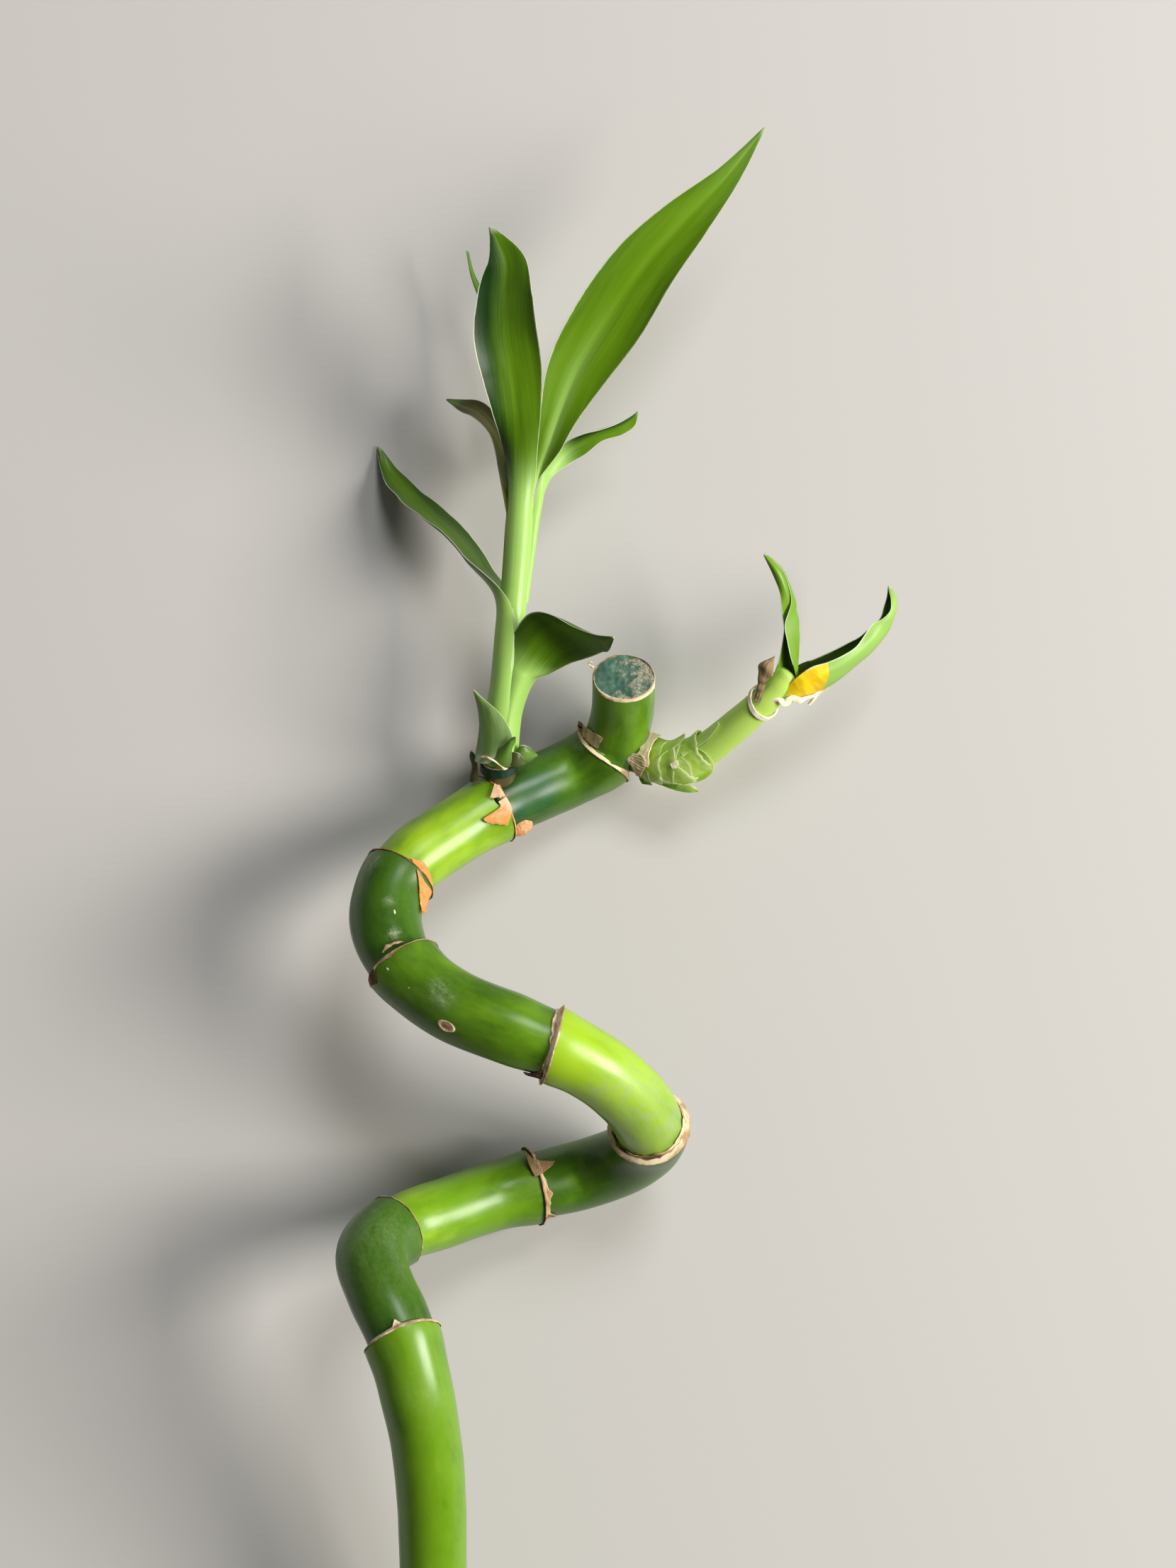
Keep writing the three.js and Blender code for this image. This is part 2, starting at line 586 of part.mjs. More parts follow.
// A sheath, scale or bract: it wraps the stem from its foot, and its edge rises to a tip that may stand off
function scaleSolid(stem, scale, thick, grow = 0) {
  const middle = stem.facing(scale.from, scale.side);
  const full = scale.to - scale.from;
  const low = scale.low ?? SCALE_LOW;
  const outer = [];
  const inner = [];
  for (let r = 0; r <= SHEATH_ROWS; r += 1) {
    const outerRow = [];
    const innerRow = [];
    for (let c = 0; c <= SHEATH_COLUMNS; c += 1) {
      const v = 1 - (2 * c) / SHEATH_COLUMNS;
      const reach = full * (low + (1 - low) * (1 - Math.abs(v)));
      const margin = Math.sign(full) * grow;
      const s = scale.from - margin + (reach + 2 * margin) * (r / SHEATH_ROWS);
      const share = clamp((s - scale.from) / full, 0, 1);
      const climb = scale.coverFrom ? smoothStep((s - scale.coverFrom + CLIMB_BEFORE) / CLIMB_LENGTH) : 0;
      const standing = scale.tipLift ? (scale.tipLift - scale.lift) * share * share : 0;
      const lift = scale.lift + climb * (GAP + thick) + standing;
      const angle = middle + (radians(scale.half) + grow / stem.radius(s)) * v;
      outerRow.push(stem.surface(s, angle, lift + thick + grow));
      innerRow.push(stem.surface(s, angle, lift - grow));
    }
    outer.push(outerRow);
    inner.push(innerRow);
  }
  return shell(outer, inner, false);
}

function collarSolid(stem, collar, grow = 0) {
  const outer = [[], []];
  const inner = [[], []];
  for (let i = 0; i < COLLAR_STEPS; i += 1) {
    const angle = (2 * Math.PI * i) / COLLAR_STEPS;
    const low = collar.from - grow;
    const high = collar.to + COLLAR_RAGGED * ragged(i, collar.seed) + grow;
    outer[0].push(stem.surface(low, angle, GAP + SHEATH + grow));
    outer[1].push(stem.surface(high, angle, GAP + SHEATH + grow));
    inner[0].push(stem.surface(low, angle, GAP - grow));
    inner[1].push(stem.surface(high, angle, GAP - grow));
  }
  return shell(outer, inner, true);
}

// A domed bud seated on the cane
function budSolid(stem, bud) {
  const s = stem.joints[MAIN_JOINT] + bud.after;
  const { tangent } = stem.place(s);
  const angle = stem.facing(s, bud.side);
  const foot = stem.surface(s, angle, -bud.sunk);
  const out = stem.surface(s, angle, 1).sub(stem.surface(s, angle, 0)).normalize();
  const across = new THREE.Vector3().crossVectors(out, tangent);
  return skin(BUD_OUTLINE.map(([height, share]) => Array.from({ length: bud.sides }, (unused, i) => {
    const turn = (2 * Math.PI * i) / bud.sides;
    return foot.clone()
      .addScaledVector(out, height * (bud.high + bud.sunk))
      .addScaledVector(tangent, bud.long * share * Math.cos(turn))
      .addScaledVector(across, bud.wide * share * Math.sin(turn));
  })));
}

// Leaves

// Everything about a leaf's midrib at a share t of its length
function leafStations(stations) {
  const curve = new THREE.CatmullRomCurve3(
    stations.map(({ at }) => new THREE.Vector3(...at)), false, "centripetal");
  const last = stations.length - 1;
  return (t) => {
    const place = t * last;
    const value = (key) => along(stations.map((station, i) => [i, station[key]]), place);
    return { point: curve.getPoint(t), tangent: curve.getTangent(t), half: value("half"),
      roll: radians(value("roll")), cup: value("cup") };
  };
}

function bladeSolid({ stations, wave = 0 }, thick, grow = 0) {
  const station = leafStations(stations);
  const rows = LEAF_ROWS;
  const columns = LEAF_COLUMNS;
  const middle = [];
  for (let r = 0; r <= rows; r += 1) {
    const t = r / rows;
    const { point, tangent, half, roll, cup } = station(t);
    const across = new THREE.Vector3().crossVectors(tangent, new THREE.Vector3(0, 0, 1)).normalize();
    const up = new THREE.Vector3().crossVectors(across, tangent).normalize();
    across.applyAxisAngle(tangent, roll);
    up.applyAxisAngle(tangent, roll);
    const row = [];
    for (let c = 0; c <= columns; c += 1) {
      const v = (2 * c) / columns - 1;
      const ripple = wave * Math.sin(WAVE_ALONG * t + WAVE_ACROSS * v) * v * v * Math.sin(Math.PI * t);
      row.push(point.clone()
        .addScaledVector(across, (half + grow) * v)
        .addScaledVector(up, cup * v * v + ripple));
    }
    middle.push(row);
  }
  const normal = (r, c) => {
    const lengthwise = middle[Math.min(r + 1, rows)][c].clone().sub(middle[Math.max(r - 1, 0)][c]);
    const sideways = middle[r][Math.min(c + 1, columns)].clone().sub(middle[r][Math.max(c - 1, 0)]);
    return new THREE.Vector3().crossVectors(sideways, lengthwise).normalize();
  };
  const face = (offset) => middle.map((row, r) =>
    row.map((point, c) => point.clone().addScaledVector(normal(r, c), offset)));
  return shell(face(thick / 2 + grow), face(-thick / 2 - grow), false);
}

// Assembly

const model = new THREE.Group();

function addPiece(name, solid, material) {
  const mesh = new THREE.Mesh(toGeometry(solid), MATERIALS[material]);
  mesh.name = name;
  model.add(mesh);
}

const cane = new Stem(CANE_KNOTS);
const grownCane = skin(caneRings(cane, CLEAR));
addPiece("cane", caneSolid(cane), "cane");
addPiece("cut_seal", sealSolid(cane), "wax");

RIMS.forEach((rim, i) => {
  addPiece(`rim_${i + 1}`, rimSolid(cane, i, rim, i + 1), "rim");
});
const grownRims = RIMS.map((rim, i) => rimSolid(cane, i, rim, i + 1, GAP));

const scrapAt = cane.joints[MAIN_JOINT];
const scrap = { ...SCRAP, from: scrapAt - SCRAP.start, to: scrapAt - SCRAP.below, lift: GAP };
const mainBase = [grownCane, grownRims[MAIN_JOINT]];
addPiece("dry_scrap", fit(scaleSolid(cane, scrap, SHEATH), [grownCane]), "rim");
addPiece("bud", fit(budSolid(cane, BUD), mainBase), "bud");

// Main shoot
const mainStem = new Stem(MAIN_STEM);
const grownMain = stemSolid(mainStem, CLEAR);
addPiece("main_stem", fit(stemSolid(mainStem), mainBase), "shoot");
addPiece("main_collar", fit(collarSolid(mainStem, MAIN_COLLAR), mainBase), "sheath");
MAIN_BRACTS.forEach((bract, i) => {
  const solid = scaleSolid(mainStem, bract, SHEATH);
  addPiece(`main_bract_${i + 1}`, fit(solid, mainBase), "sheath");
});
const grownLeaves = [];
for (const [name, leaf] of Object.entries(MAIN_LEAVES)) {
  let solid = bladeSolid(leaf, LEAF);
  let grown = bladeSolid(leaf, LEAF, GAP);
  if (leaf.sheath) {
    solid = solid.add(scaleSolid(mainStem, leaf.sheath, SHEATH));
    grown = grown.add(scaleSolid(mainStem, leaf.sheath, SHEATH, GAP));
  }
  addPiece(name, fit(solid, [grownMain, ...grownLeaves]), "leaf");
  grownLeaves.push(grown);
}

// Side shoot
const sideStem = new Stem(SIDE_STEM);
const sideBase = [grownCane, grownRims[SIDE_JOINT]];
const grownSide = stemSolid(sideStem, CLEAR);
addPiece("side_stem", fit(stemSolid(sideStem), sideBase), "shoot");
addPiece("side_collar", fit(collarSolid(sideStem, SIDE_COLLAR), sideBase), "sheath");
SIDE_SCALES.forEach((scale, i) => {
  addPiece(`side_scale_${i + 1}`, fit(scaleSolid(sideStem, scale, SHEATH), sideBase), "shoot");
});
addPiece("side_ring", collarSolid(sideStem, SIDE_RING), "rim");
const grownSideLeaves = [];
for (const [name, leaf] of Object.entries(SIDE_LEAVES)) {
  const solid = fit(bladeSolid(leaf, LEAF), [grownSide, ...grownSideLeaves]);
  addPiece(name, solid, name === "side_leaf_dry" ? "dry_leaf" : "leaf");
  grownSideLeaves.push(bladeSolid(leaf, LEAF, GAP));
}
const huskNeighbours = [
  ...sideBase,
  grownSide,
  collarSolid(sideStem, SIDE_COLLAR, GAP),
  scaleSolid(sideStem, SIDE_SCALES[0], SHEATH, GAP),
];
addPiece("side_husk", fit(bladeSolid({ stations: SIDE_HUSK }, SHEATH), huskNeighbours), "rim");

export default model;
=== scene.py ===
"""Looks for a lucky bamboo stalk curled into two loops, lying on a pale floor with its two shoots."""

import math

import bpy
import numpy as np
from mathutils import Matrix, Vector


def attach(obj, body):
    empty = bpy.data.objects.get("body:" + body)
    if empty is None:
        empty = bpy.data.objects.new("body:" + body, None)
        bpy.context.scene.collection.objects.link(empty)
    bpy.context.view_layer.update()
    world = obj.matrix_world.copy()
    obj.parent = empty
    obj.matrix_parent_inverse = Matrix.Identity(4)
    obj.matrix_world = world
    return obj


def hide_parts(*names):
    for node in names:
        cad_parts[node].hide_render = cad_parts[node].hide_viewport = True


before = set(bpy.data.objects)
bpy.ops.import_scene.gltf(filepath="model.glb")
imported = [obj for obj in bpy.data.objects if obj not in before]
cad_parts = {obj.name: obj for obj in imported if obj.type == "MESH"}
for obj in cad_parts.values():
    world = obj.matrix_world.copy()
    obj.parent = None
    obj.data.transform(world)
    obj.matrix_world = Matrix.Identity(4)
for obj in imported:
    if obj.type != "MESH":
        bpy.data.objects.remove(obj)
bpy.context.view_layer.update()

# Lengths are in millimetres, in the part's own frame, and MM turns them into metres. Only the floor and the
# lights are set out in metres
MM = 0.001
# An edge of a mesh that turns more than this many degrees stays sharp
SHARP_ANGLE = 55

# The joints of the cane: the lip that swells below each one, the step down from it and the waist above, how
# far the rim is below its knot, and how far a slant reaches along the cane
LIP = 0.55
LIP_LENGTH = 4.2
STEP_LENGTH = 0.6
WAIST = 0.35
WAIST_LENGTH = 4.5
RIM_AT = 1.2
SKEW_REACH = 9

# The cut top: width of the hollow and of the wax as shares of the cane's, depth, and height of the wax in it
CUT_EDGE = 0.955
CUT_DEPTH = 1.1
SEAL_SHARE = 0.945
SEAL_GAP = 0.3

# Noise starts off its own grid, whose planes would show as straight lines
FLOW_START = (31.7, 12.3, 7.9)

# Cane: [x, y, z, radius] from the cut foot to the cut top
CANE_KNOTS = [
    [-33, -162.8, 5.7, 6.1],
    [-33, -130, 15.5, 6.1],
    [-33, -98, 25.3, 6.1],
    [-34, -75, 34, 6.4],
    [-36.2, -62, 38.2, 6.7],
    [-38.8, -53, 38, 6.6],
    [-42.6, -45.5, 34.2, 6.4],
    [-44.5, -40, 28.5, 6.4],
    [-39.6, -36.3, 21.3, 6.2],
    [-31, -33.8, 14.6, 6.3],
    [-24, -31.6, 10.8, 6.4],
    [-14.1, -29.3, 7.8, 6.5],
    [-6.5, -27.7, 5.6, 6.4],
    [1.5, -24.6, 9.8, 6.3],
    [6, -20.8, 16.5, 6.4],
    [6, -17, 24, 6.6],
    [3, -11.8, 31.5, 6.4],
    [-3.5, -6, 37, 6.4],
    [-11.7, -1.6, 39.4, 6.4],
    [-20, 1.5, 38.7, 6.6],
    [-29.5, 5.2, 35.8, 6.6],
    [-39.1, 13, 30, 6.4],
    [-42, 21.5, 24.6, 6.7],
    [-38.8, 29.2, 19.8, 6.4],
    [-30.5, 35.4, 14.8, 6.2],
    [-21.2, 41, 10.4, 6.1],
    [-14, 44.4, 7.4, 6.2],
    [-7.3, 47.4, 5.5, 6.2],
    [-1.1, 51.2, 8.2, 6.1],
    [1.2, 57.4, 13, 5.9],
    [1.6, 64.4, 20.5, 5.8],
]
JOINT_KNOTS = [5, 8, 11, 15, 18, 21, 23, 25, 28]
# Joints that slant: which one, the side moved towards the tip, how far, and how far the whole joint is moved
JOINT_SKEWS = [
    (0, [0.2, 0, 1], 1.3, -0.5),
    (4, [0.3, 1, 0.3], 0.9, 0.7),
    (5, [1, 0, 0.3], -0.7, -0.2),
    (8, [0, 0, 1], 3.0, 0.0),
]

# How light a green each length between joints is, at its start and at its end, from the foot up. These are
# partly the cane's own green and partly painted shade: the fourth length from the foot is darkened where the
# cane's next length shades it
TONES_AND_SHADE = [
    (0.60, 0.58),
    (0.30, 0.30),
    (0.78, 0.40),
    (0.40, 0.20),
    (0.80, 0.95),
    (0.50, 0.40),
    (0.30, 0.27),
    (0.85, 0.72),
    (0.22, 0.42),
    (0.45, 0.50),
]

# Dry rims: reach along the cane, thickness, raggedness, warmth of colour from cream to brown, layers if there
# is more than one, and torn scraps (side of the cane, half width in degrees, reach along the cane, warmth). A
# reach below 0 is towards the foot
RIMS = [
    {"reach": 0.40, "thick": 0.14, "ragged": 0.30, "warm": 0.10,
     "scraps": [([0.05, 0, 1], 8, 0.8, 0.1), ([-0.8, 0, 0.6], 26, 0.25, 0.4)]},
    {"reach": 0.30, "thick": 0.12, "ragged": 0.30, "warm": 0.42, "scraps": [([-0.3, 1, 0.6], 30, 0.2, 0.15)]},
    {"reach": 0.95, "thick": 0.18, "ragged": 0.45, "warm": 0.62, "layers": 2,
     "scraps": [([0, -1, 0.45], 14, 1.8, 0.6), ([0, -0.3, 1], 10, 0.4, 0.7)]},
    {"reach": 0.95, "thick": 0.26, "ragged": 0.38, "warm": 0.44, "layers": 2,
     "scraps": [([1, 0.4, 0.5], 14, 0.6, 0.2), ([1, -0.5, 0.6], 40, 0.9, 0.12),
                ([0.8, 0.2, 0.5], 9, 0.7, 0.3), ([0.2, -1, 0.4], 25, 0.5, 0.7),
                ([-1, 0.2, 0.4], 60, 0.2, 0.95)]},
    {"reach": 0.95, "thick": 0.22, "ragged": 0.28, "warm": 0.45, "layers": 2,
     "scraps": [([0, -1, 0.35], 20, 0.6, 0.85)]},
    {"reach": 0.42, "thick": 0.14, "ragged": 0.40, "warm": 0.30,
     "scraps": [([-1, 0, 0.3], 20, -1.7, 0.98), ([-0.3, 0.2, 1], 22, -0.5, 0.2)]},
    {"reach": 0.28, "thick": 0.10, "ragged": 0.35, "warm": 0.65, "scraps": []},
    {"reach": 0.35, "thick": 0.12, "ragged": 0.35, "warm": 0.30, "scraps": []},
    {"reach": 0.42, "thick": 0.13, "ragged": 0.42, "warm": 0.14, "scraps": []},
]
# The rims of warmer, orange paper
ORANGE_RIMS = (6, 7)

# The bud: how far after its joint, the side of the cane, half length, half width, height, how deep it is sunk
BUD_JOINT = 7
BUD = {"after": 2.2, "side": [0.1, -1, 0.55], "long": 2.3, "wide": 1.7, "high": 1.5, "sunk": 0.8}

# Stem of the main shoot, set out like the cane
MAIN_STEM = [
    [-21.2, 46, 12.5, 3.0],
    [-21.5, 51, 16, 2.7],
    [-20.7, 57.5, 18.2, 2.2],
    [-19.9, 64, 19.2, 2.0],
    [-19.2, 72, 19.6, 2.0],
    [-18.4, 81, 19.6, 1.9],
    [-17.7, 90, 19.2, 2.0],
    [-17.3, 98, 18.6, 1.8],
]
# Leaves: [x, y, z, half width, roll in degrees, cup] along each midrib, from foot to tip. tone is how light a
# green they are, lit_side how much lighter one side is painted than the other, a painted highlight on the
# side that faces the light and painted shade on the side turned from it, pale how far the pale foot reaches,
# streak a pale stripe from it, wave the ripple of the edges. A sheath starts at from on the stem, wraps its
# side by half degrees each way and opens into the blade over the share join of it
TIP = 0.25
LEAVES = {
    "leaf_left_low": {
        "wave": 0.25, "pale": 0.46, "tone": 0.26,
        "sheath": {"from": 5, "side": [-0.9, 0, 0.25], "half": 88, "join": 0.28, "lift": 0.75},
        "stations": [
            [-22.2, 74, 18.6, 4.2, 66, 1.5],
            [-23.9, 80.3, 16.4, 5.0, 67, 1.3],
            [-26.4, 85.6, 13.6, 5.6, 70, 1.2],
            [-29.8, 90.2, 10.6, 5.4, 69, 1.1],
            [-34, 94.3, 7.6, 4.8, 66, 0.9],
            [-38.2, 98.2, 4.7, 3.7, 60, 0.6],
            [-41.8, 102.8, 2.0, 1.9, 35, 0.2],
            [-44.2, 108, 0.5, TIP, 0, 0],
        ],
    },
    "leaf_front": {
        "wave": 0.5, "pale": 0.50, "tone": 0.24, "lit_side": 0.2,
        "sheath": {"from": 10, "side": [-0.4, 0, 1], "half": 120, "join": 0.35, "lift": 0.5},
        "stations": [
            [-17.6, 91, 21.8, 2.9, 0, -1.2],
            [-17.2, 99, 22.6, 3.3, 0, -0.9],
            [-17.5, 106, 25, 3.6, 0, -0.6],
            [-17.9, 112.5, 28.2, 4.4, 0, 0.6],
            [-18.8, 119.5, 31.5, 5.5, 0, 1.3],
            [-19.9, 126, 34.2, 5.8, 0, 1.3],
            [-19.9, 133, 36.6, 5.0, 0, 1.1],
            [-19.7, 138.5, 38, 3.7, 0, 0.7],
            [-21.2, 142.5, 38.4, 1.7, 0, 0.3],
            [-22.6, 145, 38.6, TIP, 0, 0],
        ],
    },
    "leaf_right_tall": {
        "wave": 0.5, "pale": 0.36, "tone": 0.43, "streak": 0.9,
        "sheath": {"from": 12, "side": [1, 0, -0.2], "half": 95, "join": 0.22, "lift": 0.22},
        "stations": [
            [-15.1, 94, 18.9, 1.9, -14, 0.5],
            [-13.6, 101.5, 20.2, 2.0, -12, 0.6],
            [-11, 110, 22.2, 3.0, -10, 0.9],
            [-7, 120, 24.2, 5.5, -6, 1.0],
            [-1, 129.6, 26, 6.6, -4, 1.1],
            [5.3, 139, 27.4, 6.0, -2, 1.0],
            [12.7, 147.2, 28.4, 4.5, 0, 0.8],
            [20.2, 155, 28.8, 2.3, 4, 0.4],
            [27.1, 164, 28.4, TIP, 6, 0],
        ],
    },
    "leaf_back": {
        "wave": 0.3, "pale": 0.2,
        "stations": [
            [-17.8, 94, 17.4, 2.0, 0, 0.4],
            [-17.8, 106, 14.8, 2.8, 4, 0.6],
            [-18.8, 118, 13, 3.2, 6, 0.8],
            [-21.2, 127, 12, 2.6, 8, 0.6],
            [-24.4, 134.5, 11.8, 0.9, 20, 0.3],
            [-26.3, 138.8, 11.8, 0.5, 40, 0.1],
            [-27.3, 143.5, 11.8, TIP, 40, 0],
        ],
    },
    "leaf_left_high": {
        "wave": 0.4, "pale": 0.1, "brown": 0.75,
        "stations": [
            [-18.8, 93, 18.8, 1.6, 50, 0.3],
            [-20.2, 102.5, 17.4, 2.2, 48, 0.4],
            [-22, 109.5, 15.6, 2.4, 44, 0.5],
            [-25.2, 113.4, 13.4, 2.3, 46, 0.5],
            [-28.4, 115, 11, 1.5, 44, 0.3],
            [-31.1, 116.2, 8.6, TIP, 40, 0],
        ],
    },
}

# The photo: the camera looks straight down from here, and one pixel is this many of its focal lengths
CAMERA = [-5, 45, 975]
FOCAL = 7362.5
PHOTO_CENTRE = [829.5, 1106]
LENS = 119.8
SENSOR = 36

# Leaves and bracts set out row by row from the foot. Each point is [photo x, photo y, height in mm]. rows are
# the left edge, the right edge and how far the middle bulges up; lines are points across a folded leaf.
# light pales the whole leaf, partly its own lighter green and partly a painted sheen, waves crumple it, and
# yellow is where along X its yellow patch starts and ends
ROW_LEAVES = {
    "leaf_right_small": {
        "pale": 0.66, "slot": "leaf", "tone": 0.30, "lit_side": 0.25,
        "rows": [
            ([736, 850, 18.6], [743, 850, 17.4], 0.6),
            ([741, 780, 19.0], [752, 781, 17.4], 1.0),
            ([747, 735, 19.0], [757, 738, 17.0], 1.0),
            ([753, 708, 18.6], [763, 709, 16.6], 0.8),
            ([759, 684, 18.0], [770, 690, 16.4], 0.3),
            ([769, 660, 17.6], [779, 673, 16.2], -0.2),
            ([795, 626, 17.8], [804, 654, 15.6], -1.0),
            ([820, 613, 17.6], [826, 641, 15.2], -1.1),
            ([848, 606, 17.2], [850, 622, 15.0], -0.8),
            ([872, 597, 16.6], [878, 613, 14.8], -0.6),
            ([888, 588, 16.4], [895, 601, 14.8], -0.4),
            ([899, 580, 16.2], [901, 582, 16.0], 0),
        ],
    },
    "leaf_right_low": {
        "pale": 0.46, "slot": "leaf", "tone": 0.34,
        "rows": [
            ([693, 1070, 17.0], [730, 1069, 17.0], 2.6),
            ([698, 1001, 17.8], [738, 1000, 17.6], 3.2),
            ([706, 941, 19.4], [757, 958, 18.2], 3.2),
            ([715, 913, 20.8], [774, 951, 19.0], 2.4),
            ([740, 870, 24.4], [807, 935, 22.4], 0.0),
            ([757, 863, 26.4], [823, 930, 24.8], -0.9),
            ([779, 868, 28.8], [838, 925, 27.4], -1.2),
            ([808, 884, 31.2], [850, 920, 30.4], -1.0),
            ([839, 895, 34.0], [859, 918, 33.4], -0.5),
            ([865, 898, 36.6], [867, 901, 36.6], 0.0),
        ],
    },
    "main_bract_1": {
        "pale": 0.12, "slot": "sheath", "tone": 0.75, "waves": 0.06, "lit_side": 0.25, "light": 0.28,
        "rows": [
            ([670, 1073, 16.4], [700, 1072, 18.4], 1.2),
            ([672, 1060, 17.2], [720, 1060, 20.6], 1.4),
            ([674, 1040, 18.0], [724, 1044, 21.8], 1.2),
            ([676, 1020, 19.0], [716, 1022, 22.0], 0.9),
            ([674, 1000, 20.0], [701, 1002, 22.2], 0.5),
            ([671, 985, 21.0], [684, 987, 22.2], 0.2),
            ([668, 973, 22.0], [669, 973, 22.0], 0),
        ],
    },
    "main_bract_2": {
        "pale": 0.0, "slot": "sheath", "tone": 0.35, "waves": 0.05,
        "rows": [
            ([689, 1066, 18.6], [712, 1086, 17.6], 0.7),
            ([698, 1058, 20.4], [719, 1081, 18.6], 0.9),
            ([709, 1051, 21.8], [722, 1068, 20.4], 0.7),
            ([717, 1045, 22.6], [723, 1055, 21.8], 0.4),
            ([723, 1040, 23.0], [727, 1047, 22.6], 0.15),
            ([728, 1039, 23.3], [728, 1041, 23.2], 0),
        ],
    },
    "main_bract_3": {
        "pale": 0.0, "slot": "sheath", "tone": 0.35, "brown": 0.1, "waves": 0.08,
        "rows": [
            ([726, 1078, 16.8], [726, 1060, 19.0], 0.5),
            ([737, 1078, 16.8], [736, 1051, 19.4], 0.9),
            ([747, 1074, 16.6], [746, 1054, 18.8], 0.6),
            ([757, 1067, 16.6], [757, 1063, 17.2], 0.1),
        ],
    },
    "main_bract_front": {
        "pale": 0.0, "slot": "sheath", "tone": 0.3, "brown": 0.55, "waves": 0.06, "nodes": [],
        "rows": [
            ([716, 1085, 17.0], [721, 1061, 19.6], 0.7),
            ([724, 1084, 17.4], [731, 1062, 19.9], 0.8),
            ([732, 1081, 17.8], [738, 1070, 19.0], 0.5),
            ([739, 1077, 18.2], [740, 1075, 18.4], 0.0),
        ],
    },
    "main_bract_4": {
        "pale": 0.0, "slot": "sheath", "tone": 0.1, "brown": 0.6, "waves": 0.1,
        "rows": [
            ([662, 1101, 13.4], [676, 1103, 14.6], 0.5),
            ([666, 1082, 14.6], [674, 1080, 16.0], 0.4),
            ([662, 1066, 15.8], [671, 1066, 16.8], 0.3),
            ([663, 1059, 16.6], [666, 1060, 17.0], 0),
        ],
    },
    "side_leaf_upright": {
        "pale": 0.04, "slot": "leaf", "tone": 0.65, "lit_side": 0.15, "light": 0.26,
        "lines": [
            [[1066, 990, 22.0], [1085, 988, 21.0], [1112, 981, 21.5], [1111, 979, 22.5]],
            [[1078, 968, 24.0], [1100, 975, 21.5], [1123, 966, 22.5], [1121, 964, 23.6]],
            [[1092, 950, 25.0], [1110, 955, 21.5], [1125, 950, 23.0], [1122, 950, 24.6]],
            [[1100, 925, 25.5], [1112, 930, 22.0], [1126, 922, 24.0], [1115, 926, 26.4]],
            [[1105, 900, 26.0], [1114, 902, 23.2], [1127, 898, 25.0], [1110, 902, 27.4]],
            [[1106, 884, 26.4], [1114, 880, 24.6], [1126, 876, 25.6], [1107, 882, 28.0]],
            [[1102, 856, 28.0], [1111, 852, 27.4], [1122, 850, 26.4], [1116, 850, 27.8]],
            [[1100, 836, 28.6], [1107, 832, 28.8], [1115, 829, 27.8], [1113, 829, 28.6]],
            [[1091, 812, 29.2], [1097, 808, 29.8], [1104, 804, 29.0], [1103, 804, 29.5]],
            [[1077, 783, 30.0], [1078, 782, 30.1], [1079, 781, 30.0], [1079, 780, 29.9]],
        ],
    },
    "side_leaf_curled": {
        "pale": 0.04, "slot": "leaf", "tone": 0.7, "yellow": (30.2, 38.3), "lit_side": -0.5, "light": 0.5,
        "lines": [
            [[1100, 985, 23.4], [1104, 990, 23.2], [1108, 996, 21.0], [1104, 985, 19.0], [1098, 975, 21.5]],
            [[1112, 968, 24.3], [1118, 978, 24.0], [1126, 985, 21.5], [1118, 970, 18.5], [1112, 950, 21.5]],
            [[1124, 956, 25.0], [1134, 968, 24.6], [1146, 979, 21.0], [1135, 960, 18.0], [1127, 938, 21.5]],
            [[1145, 941, 25.0], [1156, 955, 24.6], [1168, 968, 20.5], [1155, 945, 17.5], [1150, 929, 21.5]],
            [[1168, 934, 24.5], [1177, 945, 24.0], [1187, 955, 20.0], [1175, 935, 17.0], [1175, 918, 21.0]],
            [[1190, 924, 24.0], [1198, 933, 23.3], [1207, 938, 19.5], [1195, 922, 16.5], [1197, 907, 20.5]],
            [[1208, 912, 23.3], [1217, 918, 22.6], [1228, 920, 19.0], [1213, 905, 16.5], [1212, 899, 20.0]],
            [[1221, 894, 22.5], [1232, 901, 22.0], [1243, 903, 18.7], [1230, 890, 16.5], [1224, 889, 19.5]],
            [[1231, 880, 22.0], [1243, 886, 21.3], [1254, 887, 18.5], [1243, 878, 16.5], [1236, 879, 19.0]],
            [[1245, 873, 21.5], [1254, 872, 21.0], [1261, 869, 18.4], [1252, 865, 16.6], [1243, 870, 18.6]],
            [[1256, 861, 21.0], [1260, 859, 20.6], [1264, 854, 18.4], [1254, 850, 17.0], [1247, 856, 18.4]],
            [[1257, 847, 20.5], [1260, 846, 20.2], [1263, 842, 18.6], [1256, 841, 17.4], [1251, 843, 18.4]],
            [[1253, 829, 19.0], [1254, 828, 19.0], [1255, 828, 18.9], [1254, 827, 18.8], [1253, 828, 18.9]],
        ],
    },
    "side_leaf_dry": {
        "pale": 0, "slot": "dry_leaf", "waves": 0.5,
        "rows": [
            ([1065, 986, 24.0], [1071, 990, 24.0], 0.1),
            ([1069, 968, 25.4], [1079, 970, 25.2], 0.3),
            ([1071, 951, 26.4], [1086, 955, 26.2], 0.5),
            ([1073, 937, 27.2], [1091, 941, 27.0], 0.5),
            ([1079, 931, 27.8], [1094, 926, 27.8], 0.2),
        ],
    },
}

